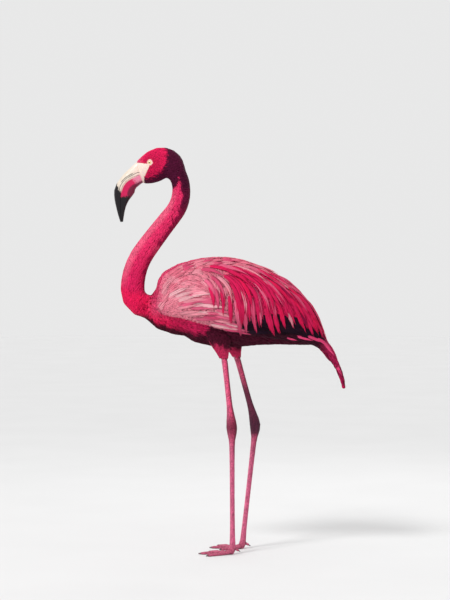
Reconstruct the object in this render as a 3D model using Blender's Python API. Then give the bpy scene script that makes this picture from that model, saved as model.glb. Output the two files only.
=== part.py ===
"""American flamingo (Phoenicopterus ruber), adult, standing on both feet with its neck in a relaxed S.

Run with: blender --background --python part.py

The bird faces -Y, its left side is +X and +Z is up. The origin is on the floor, under the middle of
its bounding box. Sizes are in millimetres and degrees, and MM turns them into Blender's metres.
Head, neck, trunk and tail share one "core": oval sections square to a line of arcs that runs from
the bill's base to the tail's tip. Each section's size is the largest of four simple shapes, the
head, the neck, the body and the tail, eased into each other. Each node takes its own stretch of
that core, parted from the next by a thin cut.
"""

import math

import bmesh
import bpy
import numpy as np
from mathutils import Vector

MM = 0.001
GAP = 0.3 * MM          # between neighbouring solids
WING_GAP = 2.4 * MM     # between a wing's hollow and the faceted trunk inside it

# ---------------------------------------------------------------- driving sizes
# The core's line in side view: where it starts, how steeply it rises there, and its arcs.
LINE_START = (-228.9, 967.9)
LINE_SLOPE = 16
LINE = (                # stretch, length, and how far it turns up (+) or down (-)
    ("face", 48.5, 16),
    ("crown", 36, -72),
    ("nape", 60, -43),
    ("upper neck", 76, -46),
    ("middle neck", 118, 3),
    ("lower neck", 111, 38),
    ("crop", 38, 58),
    ("breast", 82, 54),
    ("shoulders", 50, -22),
    ("back", 155, -14),
    ("rump", 180, -27),
    ("wing tips", 92, -23),
    ("tail plume", 65, -20),
)
CORE_SEGMENTS = 24      # points round each section

# Depth and width of the four shapes along the core.
HEAD_SIZE = (80.5, 47)
NECK_TOP_SIZE = (44, 41)
NECK_BASE_SIZE = (60, 57)
BODY_SIZE = (228, 172)
NECK_IN_HEAD = 1.0     # the neck's share of its full size where the head starts
TAIL_ROOT_SIZE = (22, 32)
TAIL_TIP_SIZE = (4, 5)
# How far the head and body reach ahead of and behind their thickest place, and how blunt they end.
HEAD_MIDDLE, HEAD_REACH, HEAD_BLUNT = 52.5, (71.5, 69), 2.0
BODY_MIDDLE = 714
BODY_REACH, BODY_BLUNT = ((201, 264), (201, 292)), ((2.0, 1.42), (2.6, 1.7))
SHOULDER_SKEW = 0.10    # how much wider the body is above its middle than below
EASING = 8              # higher makes the four shapes meet in a sharper line

# Nodes of the core: the stretches they cover and their number of rings.
LENGTHS = (
    ("head", "face", "nape", 15),
    ("neck_upper", "upper neck", "upper neck", 6),
    ("neck_middle", "middle neck", "middle neck", 5),
    ("neck_lower", "lower neck", "crop", 7),
    ("trunk", "breast", "rump", 20),
    ("tail", "wing tips", "tail plume", 12),
)

# The bill: the arcs of its gape, which leaves the head straight on and turns down.
GAPE = (("base", 23, 6), ("bend", 46, 61), ("tip", 77, 15))
BILL_SIZES = (          # distance along the gape, depth above it and below it, and width
    (0, 35, 20, 26),
    (21, 24.5, 27, 30),
    (42, 17.5, 32, 31),
    (68, 19, 33, 28.5),
    (89, 16, 21.5, 22.5),
    (108, 11.5, 13.5, 17),
    (128, 7.2, 8.3, 12),
    (146, 3.4, 3.8, 7),
)
BILL_SEGMENTS = 9       # points along each half section
BILL_RINGS = 2          # rings to each gap of the table
BILL_GAP = 0.15 * MM    # each half's share of the closed mouth's line
TOP_NARROWER = 0.96     # the upper half is a little narrower than the lower one
TOP_ROUND = 0.75        # below 1 the culmen is fuller than an ellipse
LOWER_ROUND = 0.60      # the lower mandible is a deep trough

EYE_RADIUS = 7.2 * MM
EYE_ALONG, EYE_RISE, EYE_OUT = 36, 11.6, 15.5  # along the core, above its middle, and to the side
EYE_TURN = 0.3 * MM     # clearance round the eyeball

# The wing on the core: distance, first and last angle from the back, and greatest thickness.
WING = (
    (537, 66, 96, 3),
    (580, 30, 112, 9),
    (672, 15, 121, 13.5),
    (772, 10, 131, 14),
    (872, 6, 136, 11.5),
    (962, 5, 141, 7),
    (1032, 14, 165, 3.5),
)
WING_ACROSS = 9         # cells from the wing's upper edge to its lower one
WING_ALONG = 3          # cells to each gap of the table
WING_EDGE = 1.0 * MM    # thickness left at the edges

# A leg from inside the belly to the floor: height, depth and width. Both legs share them.
LEG_SIZES = {
    "thigh root": (566, 74, 46),
    "thigh": (534, 50, 36),
    "garter top": (508, 28, 23),
    "garter": (491, 18, 16),
    "shank top": (482, 14.5, 13),
    "shank": (430, 13.5, 12),
    "shank low": (376, 14.5, 13),
    "ankle top": (350, 20, 16.5),
    "ankle": (321, 27, 21),
    "ankle low": (296, 19.5, 17),
    "tarsus top": (274, 13.5, 12),
    "tarsus": (162, 11.5, 10),
    "tarsus low": (60, 12, 10.5),
    "tarsus foot": (22, 15, 13.5),
}
LEG_JOINTS = ("thigh root", "garter", "ankle", "tarsus foot")
LEG_LINES = {           # how far behind the origin each joint is
    "left": (-28.3, -12.3, 6.2, 7.7),
    "right": (1.7, 20.7, 67.7, 34.7),
}
BEND_REACH = 14         # how far each side of a joint its bend is spread
HIP_X, ANKLE_X, FOOT_X = 40, 43, 49
LEG_NODES = (("thigh", 0, 3), ("shank", 3, 7), ("ankle", 7, 9), ("tarsus", 9, 13))
LEG_SEGMENTS = 12
LEG_RINGS = 2

# Toes: name, length, turn outwards from straight ahead, and thickness at the root.
TOES = (("inner", 64, -30, 9.5), ("middle", 80, 2, 10.5), ("outer", 73, 33, 9.5))
TOE_PADS = (0.0, 0.18, 0.34, 0.44, 0.60, 0.70, 0.86, 1.0)   # where the toe's joints and pads are
TOE_GIRTHS = (1.12, 0.92, 0.80, 0.94, 0.74, 0.86, 0.72, 0.60)
TOE_SEGMENTS = 10
TOE_LIFT = 9            # height of the toes' common root
SOLE_CUT = 1.2          # how much of each pad is pressed flat on the floor
WEB_THICK = 2.0
WEB_REACH = (0.84, 0.90)    # how far down the toes on either side the web runs
WEB_HOLLOW = 0.20       # how far the web's free edge curves back
CLAW_LENGTH, CLAW_RADIUS, CLAW_HEIGHT, CLAW_SLOPE = 7.5, 2.1, 2.8, 0.16
HIND_CLAW_LENGTH, HIND_CLAW_RADIUS = 5.0, 1.5
CLAW_GIRTHS = ((0.0, 1.0), (0.4, 0.95), (0.8, 0.66), (1.0, 0.3))
HALLUX_LENGTH, HALLUX_RADIUS, HALLUX_HEIGHT, HALLUX_FALL = 13, 2.9, 15, 0.5
HALLUX_GIRTHS = ((0.0, 1.1), (0.4, 1.0), (0.75, 0.95), (1.0, 0.6))
ROD_SEGMENTS = 10
KNUCKLE = ((15, 1.12, -1), (8, 1.05, -2), (1.5, 0.75, -3), (-1, 0.6, -3))   # height, swell, shift

COLOURS = {             # sRGB, roughness
    "plumage": ("D91B54", 0.75),
    "plumage_pale": ("E07F96", 0.75),
    "plumage_dark": ("9C1742", 0.75),
    "leg_skin": ("CC4A72", 0.55),
    "bill_pale": ("DCC6B6", 0.35),
    "bill_dark": ("1A0E16", 0.35),
    "eye": ("E8D27A", 0.05),
    "claw": ("2A1820", 0.4),
}


# ---------------------------------------------------------------- tools
def clear_scene():
    for obj in list(bpy.data.objects):
        bpy.data.objects.remove(obj)


def new_collection(name):
    collection = bpy.data.collections.new(name)
    bpy.context.scene.collection.children.link(collection)
    return collection


def linear(value):
    return value / 12.92 if value <= 0.04045 else ((value + 0.055) / 1.055) ** 2.4


def make_materials():
    made = {}
    for name, (code, roughness) in COLOURS.items():
        material = bpy.data.materials.new(name)
        material.use_nodes = True
        shader = material.node_tree.nodes["Principled BSDF"]
        rgb = [linear(int(code[i:i + 2], 16) / 255) for i in (0, 2, 4)]
        shader.inputs["Base Color"].default_value = (*rgb, 1)
        shader.inputs["Roughness"].default_value = roughness
        shader.inputs["Metallic"].default_value = 0.0
        made[name] = material
    return made


def smooth_row(table, t):
    """The table's row at t, a smooth curve through all its rows (a cubic Hermite spline)."""
    rows = np.asarray(table, float)
    last = len(rows) - 1
    i = min(int(t), last - 1)
    u = t - i
    slope_a = (rows[i + 1] - rows[max(i - 1, 0)]) / (i + 1 - max(i - 1, 0))
    slope_b = (rows[min(i + 2, last)] - rows[i]) / (min(i + 2, last) - i)
    a, b = 2 * u**3 - 3 * u**2 + 1, u**3 - 2 * u**2 + u
    c, d = 3 * u**2 - 2 * u**3, u**3 - u**2
    return a * rows[i] + b * slope_a + c * rows[i + 1] + d * slope_b


def spread(start, end, rings):
    """Places from start to end of a table, with so many rings to each of its gaps."""
    return np.linspace(start, end, int(round((end - start) * rings)) + 1)


def oval(centre, tilt, depth, width, segments, skew=0.0, x=0.0):
    """A section's ring of points, from the back round by +X to the belly and up the other side."""
    up = Vector((0, math.cos(math.radians(tilt)), math.sin(math.radians(tilt))))
    ring = []
    for k in range(segments):
        angle = 2 * math.pi * k / segments
        side = math.sin(angle) * width / 2 * (1 + skew * math.cos(angle))
        ring.append(Vector((x + side, *centre)) + up * (math.cos(angle) * depth / 2))
    return ring


def loft(name, rings, material, collection):
    """A closed solid through rings of points, its ends closed flat."""
    mesh = bpy.data.meshes.new(name)
    bm = bmesh.new()
    made = [[bm.verts.new(point) for point in ring] for ring in rings]
    count = len(rings[0])
    for first, second in zip(made, made[1:]):
        for k in range(count):
            j = (k + 1) % count
            bm.faces.new((first[k], first[j], second[j], second[k]))
    bm.faces.new(made[0])
    bm.faces.new(list(reversed(made[-1])))
    bmesh.ops.recalc_face_normals(bm, faces=bm.faces[:])
    bm.to_mesh(mesh)
    bm.free()
    mesh.shade_smooth()
    mesh.set_sharp_from_angle(angle=math.radians(45))
    mesh.materials.append(material)
    obj = bpy.data.objects.new(name, mesh)
    collection.objects.link(obj)
    return obj


def boolean(obj, other, operation):
    modifier = obj.modifiers.new(f"{operation.lower()}_{other.name}", "BOOLEAN")
    modifier.operation = operation
    modifier.object = other
    modifier.solver = "EXACT"


def as_cutter(obj):
    obj.hide_render = True
    obj.display_type = "WIRE"
    return obj


def baked(obj):
    """Applies an object's modifiers, so that what it was cut or joined with can go."""
    graph = bpy.context.evaluated_depsgraph_get()
    mesh = bpy.data.meshes.new_from_object(obj.evaluated_get(graph))
    obj.modifiers.clear()
    obj.data = mesh


# ---------------------------------------------------------------- head, neck and trunk
def follow(arcs, start, heading, distance):
    """Where a chain of arcs has got to after a distance, and its heading there in radians."""
    y, z = start
    angle = math.radians(heading)
    for _, length, turn in arcs:
        step = min(distance, length)
        bend = math.radians(turn) * step / length
        chord = step * (math.sin(bend / 2) / (bend / 2) if bend else 1)
        y += chord * math.cos(angle + bend / 2)
        z += chord * math.sin(angle + bend / 2)
        angle += bend
        distance -= step
    return (y, z), angle


def reach(stretch, end):
    """How far along the core a stretch starts (end 0) or ends (end 1)."""
    names = [name for name, _, _ in LINE]
    return sum(length for _, length, _ in LINE[:names.index(stretch) + end])


def swelling(place, middle, reaches, blunts):
    """1 at the middle, falling to 0 where the shape ends ahead and behind, like half an oval."""
    side = int(place > middle)
    share = min(abs(place - middle) / reaches[side], 1)
    return (1 - share ** blunts[side]) ** (1 / blunts[side])


def taper(place, first, last, size_first, size_last):
    share = min(max((place - first) / (last - first), 0), 1)
    return size_first + (size_last - size_first) * share


def girth(place, kind):
    """The core's depth (kind 0) or width (kind 1): the largest of its four shapes, eased."""
    shapes = (
        HEAD_SIZE[kind] * swelling(place, HEAD_MIDDLE, HEAD_REACH, (HEAD_BLUNT, HEAD_BLUNT)),
        BODY_SIZE[kind] * swelling(place, BODY_MIDDLE, BODY_REACH[kind], BODY_BLUNT[kind]),
        neck_girth(place, kind),
        tail_girth(place, kind),
    )
    return sum(shape**EASING for shape in shapes) ** (1 / EASING)


def neck_girth(place, kind):
    """The neck widens evenly downwards, and fades out inside the head and the body."""
    size = taper(place, reach("nape", 1), reach("lower neck", 1), NECK_TOP_SIZE[kind], NECK_BASE_SIZE[kind])
    into_head = taper(place, 0, reach("nape", 0), NECK_IN_HEAD, 1)
    into_body = taper(place, reach("crop", 1), reach("back", 1), 1, 0)
    return size * into_head * into_body


def tail_girth(place, kind):
    out_of_body = taper(place, reach("rump", 0), reach("rump", 1), 0, 1)
    size = taper(place, reach("rump", 1), reach("tail plume", 1), TAIL_ROOT_SIZE[kind], TAIL_TIP_SIZE[kind])
    return size * out_of_body


def core_section(place):
    """Centre, back direction, half depth and half width of the core at a distance, in metres."""
    (y, z), heading = follow(LINE, LINE_START, LINE_SLOPE, place)
    up = Vector((0, -math.sin(heading), math.cos(heading)))
    return Vector((0, y, z)) * MM, up, girth(place, 0) / 2 * MM, girth(place, 1) / 2 * MM


def body_skew(place):
    """The core's sections are plain ovals in the head and neck, and broad-shouldered in the body."""
    return SHOULDER_SKEW * taper(place, reach("lower neck", 1), reach("shoulders", 1), 0, 1)


def core_point(place, angle, grow=0.0):
    """The point on the core at a distance, angle round from the back towards +X, pushed out by grow."""
    centre, up, deep, wide = core_section(place)
    sine, cosine = math.sin(angle), math.cos(angle)
    point = centre + up * (deep * cosine)
    point.x += wide * sine * (1 + body_skew(place) * cosine)
    outward = up * (cosine / deep) + Vector((sine / wide, 0, 0))
    return point + outward.normalized() * grow


def core_ring(place, shift=0.0, grow=0.0):
    """A whole ring of the core, moved along its own normal by shift."""
    _, up, _, _ = core_section(place)
    along = Vector((0, up.z, -up.y)) * shift
    step = 2 * math.pi / CORE_SEGMENTS
    return [core_point(place, k * step, grow) + along for k in range(CORE_SEGMENTS)]


def core_length(name, first, last, rings, material, collection, grow=0.0):
    """One node of the core over its stretches, stopped short of its neighbours by half a gap."""
    places = np.linspace(reach(first, 0), reach(last, 1), rings + 1)
    lofted = [core_ring(place, grow=grow) for place in places]
    lofted[0] = core_ring(places[0], GAP / 2, grow)
    lofted[-1] = core_ring(places[-1], -GAP / 2, grow)
    return loft(name, lofted, material, collection)


def make_core(materials, parts):
    looks = {"trunk": "plumage_pale", "tail": "plumage_dark"}
    return {
        name: core_length(name, first, last, rings, materials[looks.get(name, "plumage")], parts)
        for name, first, last, rings in LENGTHS
    }


def make_eyes(head, materials, parts, cutters):
    centre, up, _, _ = core_section(EYE_ALONG)
    for side, sign in (("left", 1), ("right", -1)):
        place = centre + up * (EYE_RISE * MM) + Vector((sign * EYE_OUT * MM, 0, 0))
        for name, radius, collection in (
            (f"eye_{side}", EYE_RADIUS, parts),
            (f"socket_{side}", EYE_RADIUS + EYE_TURN, cutters),
        ):
            bpy.ops.mesh.primitive_uv_sphere_add(
                segments=14, ring_count=8, radius=radius, location=place,
                rotation=(0, math.pi / 2, 0),
            )
            ball = bpy.context.object
            ball.name = name
            ball.data.shade_smooth()
            ball.data.materials.append(materials["eye"])
            ball.users_collection[0].objects.unlink(ball)
            collection.objects.link(ball)
        boolean(head, as_cutter(bpy.data.objects[f"socket_{side}"]), "DIFFERENCE")


# ---------------------------------------------------------------- bill
def half_section(edge, middle, width, fullness):
    """Half an oval: flat along the gape from side to side, and round towards edge."""
    rise = edge - middle
    ring = []
    for k in range(BILL_SEGMENTS + 1):
        angle = math.pi * k / BILL_SEGMENTS
        across = Vector((math.cos(angle) * width / 2, 0, 0))
        ring.append(middle + across + rise * math.sin(angle) ** fullness)
    return ring


def make_bill(materials, parts):
    """Both halves, as sections square to the gape. Its line is followed from the head forwards."""
    slope = math.radians(LINE_SLOPE)
    below = BILL_SIZES[0][1] - girth(0, 0) / 2
    start = (LINE_START[0] + below * math.sin(slope), LINE_START[1] - below * math.cos(slope))
    upper, lower = [], []
    for t in spread(0, len(BILL_SIZES) - 1, BILL_RINGS):
        place, above, under, width = smooth_row(BILL_SIZES, t)
        (y, z), heading = follow(GAPE, start, 180 + LINE_SLOPE, place)
        up = Vector((0, math.sin(heading), -math.cos(heading)))
        gape = Vector((0, y, z)) * MM
        culmen, underside = gape + up * (above * MM), gape - up * (under * MM)
        upper.append(half_section(culmen, gape + up * BILL_GAP, width * TOP_NARROWER * MM, TOP_ROUND))
        lower.append(half_section(underside, gape - up * BILL_GAP, width * MM, LOWER_ROUND))
    ahead = Vector((0, -GAP * math.cos(slope), -GAP * math.sin(slope)))
    for rings in (upper, lower):
        rings[0] = [point + ahead for point in rings[0]]
    loft("bill_upper", upper, materials["bill_pale"], parts)
    loft("bill_lower", lower, materials["bill_dark"], parts)


# ---------------------------------------------------------------- wings
def wing_thickness(share, greatest):
    """The wing is thickest above its middle and thin at both edges."""
    return WING_EDGE + (greatest * MM - WING_EDGE) * math.sin(math.pi * share ** 0.85) ** 0.8


def make_wing(side, sign, materials, parts):
    """A shell that wraps the trunk: a grid outside, a grid inside, and a rim between them."""
    mesh = bpy.data.meshes.new(f"wing_{side}")
    bm = bmesh.new()
    outer, inner = [], []
    for t in spread(0, len(WING) - 1, WING_ALONG):
        place, top, bottom, greatest = smooth_row(WING, t)
        rows = ([], [])
        for k in range(WING_ACROSS + 1):
            share = k / WING_ACROSS
            angle = math.radians(top + (bottom - top) * share)
            for row, grow in zip(rows, (WING_GAP + wing_thickness(share, greatest), WING_GAP)):
                point = core_point(place, angle, grow)
                row.append(bm.verts.new((sign * point.x, point.y, point.z)))
        outer.append(rows[0])
        inner.append(rows[1])
    for grid in (outer, inner):
        for first, second in zip(grid, grid[1:]):
            for k in range(WING_ACROSS):
                bm.faces.new((first[k], first[k + 1], second[k + 1], second[k]))
    for out_line, in_line in (
        (outer[0], inner[0]),
        (outer[-1], inner[-1]),
        ([row[0] for row in outer], [row[0] for row in inner]),
        ([row[-1] for row in outer], [row[-1] for row in inner]),
    ):
        for k in range(len(out_line) - 1):
            bm.faces.new((out_line[k], out_line[k + 1], in_line[k + 1], in_line[k]))
    bmesh.ops.recalc_face_normals(bm, faces=bm.faces[:])
    bm.to_mesh(mesh)
    bm.free()
    mesh.shade_smooth()
    mesh.set_sharp_from_angle(angle=math.radians(50))
    mesh.materials.append(materials["plumage_pale"])
    parts.objects.link(bpy.data.objects.new(f"wing_{side}", mesh))


# ---------------------------------------------------------------- legs
def leg_x(index):
    """How far out a leg's section is: the legs stand a little wider at the floor than at the hip."""
    ankle = list(LEG_SIZES).index("ankle")
    last = len(LEG_SIZES) - 1
    if index <= ankle:
        return HIP_X + (ANKLE_X - HIP_X) * index / ankle
    return ANKLE_X + (FOOT_X - ANKLE_X) * (index - ankle) / (last - ankle)


def leg_y(side, height):
    """How far back the leg is at a height: straight from joint to joint, with its bends eased."""
    heights = [LEG_SIZES[joint][0] for joint in reversed(LEG_JOINTS)]
    line = LEG_LINES[side][::-1]
    near = np.linspace(height - BEND_REACH, height + BEND_REACH, 5)
    return float(np.mean(np.interp(near, heights, line)))


def leg_rings(side, first, last):
    """Rings square to the leg's own line, between two of its sections."""
    table = np.array([
        (leg_y(side, height), height, depth, width, leg_x(i))
        for i, (height, depth, width) in enumerate(LEG_SIZES.values())
    ])
    rings = []
    step = 0.05
    for t in spread(first, last, LEG_RINGS):
        y, z, depth, width, x = smooth_row(table, t)
        ahead = smooth_row(table, min(t + step, len(table) - 1))
        behind = smooth_row(table, max(t - step, 0))
        down = Vector((0, ahead[0] - behind[0], ahead[1] - behind[1])).normalized()
        tilt = math.degrees(math.atan2(down.y, -down.z))
        rings.append((oval((y * MM, z * MM), tilt, depth * MM, width * MM, LEG_SEGMENTS, x=x * MM), down))
    return rings


def make_leg(side, sign, trunk_cutter, materials, parts):
    looks = {"thigh": "plumage"}
    for node, first, last in LEG_NODES:
        cut = leg_rings(side, first, last)
        rings = [ring for ring, _ in cut]
        rings[0] = [point + cut[0][1] * (GAP / 2) for point in rings[0]]
        rings[-1] = [point - cut[-1][1] * (GAP / 2) for point in rings[-1]]
        rings = [[Vector((sign * p.x, p.y, p.z)) for p in ring] for ring in rings]
        solid = loft(f"{node}_{side}", rings, materials[looks.get(node, "leg_skin")], parts)
        if node == "thigh":
            boolean(solid, trunk_cutter, "DIFFERENCE")


def toe_rings(root, heading, length, girth):
    """Rings along a toe, thick at the root and swollen at its pads, with its underside on the floor."""
    rings = []
    for place, share in zip(TOE_PADS, TOE_GIRTHS):
        radius = girth / 2 * share
        resting = radius - SOLE_CUT
        fall = max(0.0, 1 - place / 0.34)
        height = resting + (TOE_LIFT - resting) * fall**1.6
        centre = root + heading * (length * place)
        across = Vector((-heading.y, heading.x, 0))
        ring = []
        for k in range(TOE_SEGMENTS):
            angle = 2 * math.pi * k / TOE_SEGMENTS
            offset = across * (radius * math.sin(angle)) + Vector((0, 0, radius * math.cos(angle)))
            ring.append((Vector((centre.x, centre.y, height)) + offset) * MM)
        rings.append(ring)
    return rings


def make_web(name, root, ways, material, collection):
    """One thin plate between the three toes, its free edge hollow from toe to toe."""
    outline = [root - ways[1][0] * 2]
    for (way_a, long_a), (way_b, long_b), reach in zip(ways, ways[1:], (WEB_REACH, WEB_REACH[::-1])):
        end_a = root + way_a * (long_a * reach[0])
        end_b = root + way_b * (long_b * reach[1])
        for k in range(9):
            share = k / 8
            chord = end_a.lerp(end_b, share)
            point = chord.lerp(root, WEB_HOLLOW * math.sin(math.pi * share))
            if (point - outline[-1]).length > 0.1:
                outline.append(point)
    rings = [[Vector((p.x, p.y, height)) * MM for p in outline] for height in (-2, WEB_THICK)]
    return loft(name, rings, material, collection)


def floor_cutter(collection):
    """Everything under the floor, to press the soles flat."""
    bpy.ops.mesh.primitive_cube_add(size=0.4, location=(0, 0, -0.2))
    block = bpy.context.object
    block.name = "under_floor"
    block.users_collection[0].objects.unlink(block)
    collection.objects.link(block)
    return as_cutter(block)


def rod_rings(start, direction, across, length, radius, girths):
    """Rings of a tapering rod: its girths are given at shares of its length."""
    over = direction.cross(across)
    rings = []
    for share, girth in girths:
        centre = start + direction * (length * share)
        ring = []
        for k in range(ROD_SEGMENTS):
            angle = 2 * math.pi * k / ROD_SEGMENTS
            offset = across * math.sin(angle) + over * math.cos(angle)
            ring.append((centre + offset * (radius * girth)) * MM)
        rings.append(ring)
    return rings


def make_claw(name, tip, heading, radius, length, slope, materials, parts):
    """A short blunt claw that starts just past the toe's end."""
    direction = Vector((heading.x, heading.y, -slope)).normalized()
    across = Vector((-heading.y, heading.x, 0))
    start = tip + heading * (radius * slope)
    loft(name, rod_rings(start, direction, across, length, radius, CLAW_GIRTHS), materials["claw"], parts)


def make_toes(side, sign, root, materials, parts, cutters):
    """The three front toes and the web between them, each toe with its claw."""
    ways, pieces = [], []
    for name, length, turn, girth in TOES:
        angle = math.radians(turn) * sign
        heading = Vector((math.sin(angle), -math.cos(angle), 0))
        ways.append((heading, length))
        rings = toe_rings(root, heading, length, girth)
        pieces.append(loft(f"toe_{name}_{side}", rings, materials["leg_skin"], cutters))
        end = root + heading * (length + GAP / MM)
        end.z = CLAW_HEIGHT
        make_claw(f"claw_{name}_{side}", end, heading, CLAW_RADIUS, CLAW_LENGTH, CLAW_SLOPE,
                  materials, parts)
    pieces.append(make_web(f"web_{side}", root, ways, materials["leg_skin"], cutters))
    return pieces


def make_hind_toe(side, root, materials, parts, cutters):
    """The small hind toe, which hangs clear of the floor."""
    fall = Vector((0, math.cos(HALLUX_FALL), -math.sin(HALLUX_FALL)))
    start = Vector((root.x, root.y + LEG_SIZES["tarsus foot"][1] * 0.30, HALLUX_HEIGHT))
    rings = rod_rings(start, fall, Vector((1, 0, 0)), HALLUX_LENGTH, HALLUX_RADIUS, HALLUX_GIRTHS)
    end = start + fall * (HALLUX_LENGTH + GAP / MM)
    make_claw(f"claw_hind_{side}", end, Vector((0, 1, 0)), HIND_CLAW_RADIUS, HIND_CLAW_LENGTH,
              math.tan(HALLUX_FALL), materials, parts)
    return loft(f"toe_hind_{side}", rings, materials["leg_skin"], cutters)


def make_foot(side, sign, materials, parts, cutters):
    """The foot below the tarsus: a knuckle, three webbed toes in front and one behind, in one solid."""
    root = Vector((sign * FOOT_X, LEG_LINES[side][-1], 0))
    _, depth, width = LEG_SIZES["tarsus foot"]
    last = len(LEG_SIZES) - 1
    top, down = leg_rings(side, last - 0.5, last)[-1]
    rings = [[point + down * (GAP / 2) for point in top]]
    for height, swell, shift in KNUCKLE:
        centre = ((root.y + shift) * MM, height * MM)
        rings.append(oval(centre, 0, depth * swell * MM, width * swell * MM, LEG_SEGMENTS, x=FOOT_X * MM))
    rings = [[Vector((sign * p.x, p.y, p.z)) for p in ring] for ring in rings]
    foot = loft(f"foot_{side}", rings, materials["leg_skin"], parts)

    pieces = make_toes(side, sign, root, materials, parts, cutters)
    pieces.append(make_hind_toe(side, root, materials, parts, cutters))
    for piece in pieces:
        boolean(foot, as_cutter(piece), "UNION")
    boolean(foot, bpy.data.objects["under_floor"], "DIFFERENCE")
    baked(foot)
    for piece in pieces:
        bpy.data.objects.remove(piece)


def main():
    clear_scene()
    parts = new_collection("flamingo")
    cutters = new_collection("flamingo_cutters")
    materials = make_materials()

    core = make_core(materials, parts)
    make_eyes(core["head"], materials, parts, cutters)
    make_bill(materials, parts)

    name, first, last, rings = next(row for row in LENGTHS if row[0] == "trunk")
    trunk_cutter = as_cutter(
        core_length("trunk_cutter", first, last, rings, materials["plumage"], cutters, grow=GAP)
    )
    floor_cutter(cutters)
    for side, sign in (("left", 1), ("right", -1)):
        make_wing(side, sign, materials, parts)
        make_leg(side, sign, trunk_cutter, materials, parts)
        make_foot(side, sign, materials, parts, cutters)


main()
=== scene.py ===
"""Looks of a life-size American flamingo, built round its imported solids.

One skin is drawn inside the solids of the body and legs. Over it lie blades, the fine parts of a
feather, in tufts that follow the lie of the plumage, and horny scales on the legs and feet. Bill,
eyes and claws are pieces of their own. Lengths are in metres, with MM for millimetres.
"""
import heapq
import math

import bmesh
import bpy
import numpy as np
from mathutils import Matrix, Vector
from mathutils.bvhtree import BVHTree


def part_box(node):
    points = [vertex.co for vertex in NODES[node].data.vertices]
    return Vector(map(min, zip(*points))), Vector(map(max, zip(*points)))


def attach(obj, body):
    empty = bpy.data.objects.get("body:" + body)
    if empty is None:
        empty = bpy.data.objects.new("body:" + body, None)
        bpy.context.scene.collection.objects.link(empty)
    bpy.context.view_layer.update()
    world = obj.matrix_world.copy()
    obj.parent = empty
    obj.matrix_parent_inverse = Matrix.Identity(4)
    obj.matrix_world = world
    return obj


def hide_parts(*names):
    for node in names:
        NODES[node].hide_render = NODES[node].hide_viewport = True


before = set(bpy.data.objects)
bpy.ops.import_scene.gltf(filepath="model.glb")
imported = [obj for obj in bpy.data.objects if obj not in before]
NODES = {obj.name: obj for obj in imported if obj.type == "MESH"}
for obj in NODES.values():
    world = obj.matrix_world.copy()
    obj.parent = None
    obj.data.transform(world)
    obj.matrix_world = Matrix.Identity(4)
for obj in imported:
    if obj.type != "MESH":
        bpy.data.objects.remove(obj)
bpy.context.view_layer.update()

MM = 0.001
SIDES = (("left", 1), ("right", -1))
CORE_NODES = ("head", "neck_upper", "neck_middle", "neck_lower", "trunk", "tail")
WING_NODES = ("wing_left", "wing_right")
THIGH_NODES = ("thigh_left", "thigh_right")
EYE_NODES = ("eye_left", "eye_right")
BODY_NODES = CORE_NODES + WING_NODES + THIGH_NODES
LEG_NODES = ("shank", "ankle", "tarsus", "foot")
CLAWS = ("inner", "middle", "outer", "hind")

# Heights over the floor that several parts share.
THIGH_HEM = 0.503       # where the feathers of the thighs end
ANKLE_HEIGHT = 0.322    # the middle of the ankle
FOOT_TOP = 0.024        # where the foot's own scales begin

# A root's patch on the bake map: half its width, and its whole length.
BAKE_PATCH = (0.0012, 0.0024)

# Plumage, bare parts, eyes, claws and room, as sRGB colours; several of them are painted shade or painted
# highlights, as said where they are laid.
HEX = {
    "crown": "D91B54", "forehead": "E4577C", "cheek": "C4124B", "nape": "3C0C2B",
    "neck_side": "DC2D62", "neck_front_highlight": "E0607F", "painted_shade_wine": "8A0B3F", "neck_low": "CD1D56",
    "breast": "DB174F", "belly": "C81E55", "underside_shade": "240619", "mantle": "D56C81",
    "pale": "E08C9B", "shoulder": "DE7F91", "rosy": "D04B71", "crimson": "D21C55",
    "rear_pink": "E8487C", "highlight": "E6ABB3", "lock": "DB6283", "flight": "1B0818",
    "tail": "B01F52", "tail_shade": "770C34", "thigh": "C92D5B", "leg": "DB4A75",
    "leg_dark_and_shade": "5C0829", "leg_lit_front": "DC7796", "tarsus": "C4557A", "web": "B4526F",
    "lores": "E3CBC0", "eyelid": "E8BDB4", "bill_white": "D2C4B4", "bill_pink": "DC7E9B",
    "bill_crimson": "C60D50", "bill_purple": "600D31", "bill_black": "0D060D",
    "eye_white": "B8898A", "eye_rim": "7A5A34", "iris": "E2CF8E", "pupil": "08060A",
    "claw": "2A1820", "claw_tip": "8A5A60", "floor": "D8D8D8", "daylight": "F0F0F0",
}


def linear(code):
    """An sRGB hex colour as linear light."""
    parts = [int(code[i:i + 2], 16) / 255 for i in (0, 2, 4)]
    return np.array([v / 12.92 if v <= 0.04045 else ((v + 0.055) / 1.055) ** 2.4 for v in parts])


TINT = {name: linear(code) for name, code in HEX.items()}


# ---------------- small sums
def unit(rows):
    """Rows made one long."""
    return rows / np.maximum(np.linalg.norm(rows, axis=-1, keepdims=True), 1e-12)


def ease(low, high, values):
    """0 below low, 1 above high, smooth between; low may be the greater."""
    share = np.clip((np.asarray(values, float) - low) / (high - low), 0, 1)
    return share * share * (3 - 2 * share)


def blended(rows, other, weight):
    """Rows moved towards other ones by weight, row by row."""
    return rows + (other - rows) * np.asarray(weight)[:, None]


def plain(name, points):
    """One named tint, as a row for each point."""
    return np.tile(TINT[name], (len(points), 1))


def mixed(colours, name, weight):
    """Colours moved towards a named tint by weight, row by row."""
    return blended(colours, TINT[name], weight)


def layered(points, base, layers):
    """A base tint for each point, with further tints laid over it by their weights, in order."""
    colours = plain(base, points)
    for name, weight in layers:
        colours = mixed(colours, name, weight)
    return colours


# ---------------- mesh tools
def apply_all(obj):
    """Applies every modifier of an object, in order."""
    bpy.ops.object.select_all(action="DESELECT")
    obj.select_set(True)
    bpy.context.view_layer.objects.active = obj
    for modifier in list(obj.modifiers):
        bpy.ops.object.modifier_apply(modifier=modifier.name)


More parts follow.
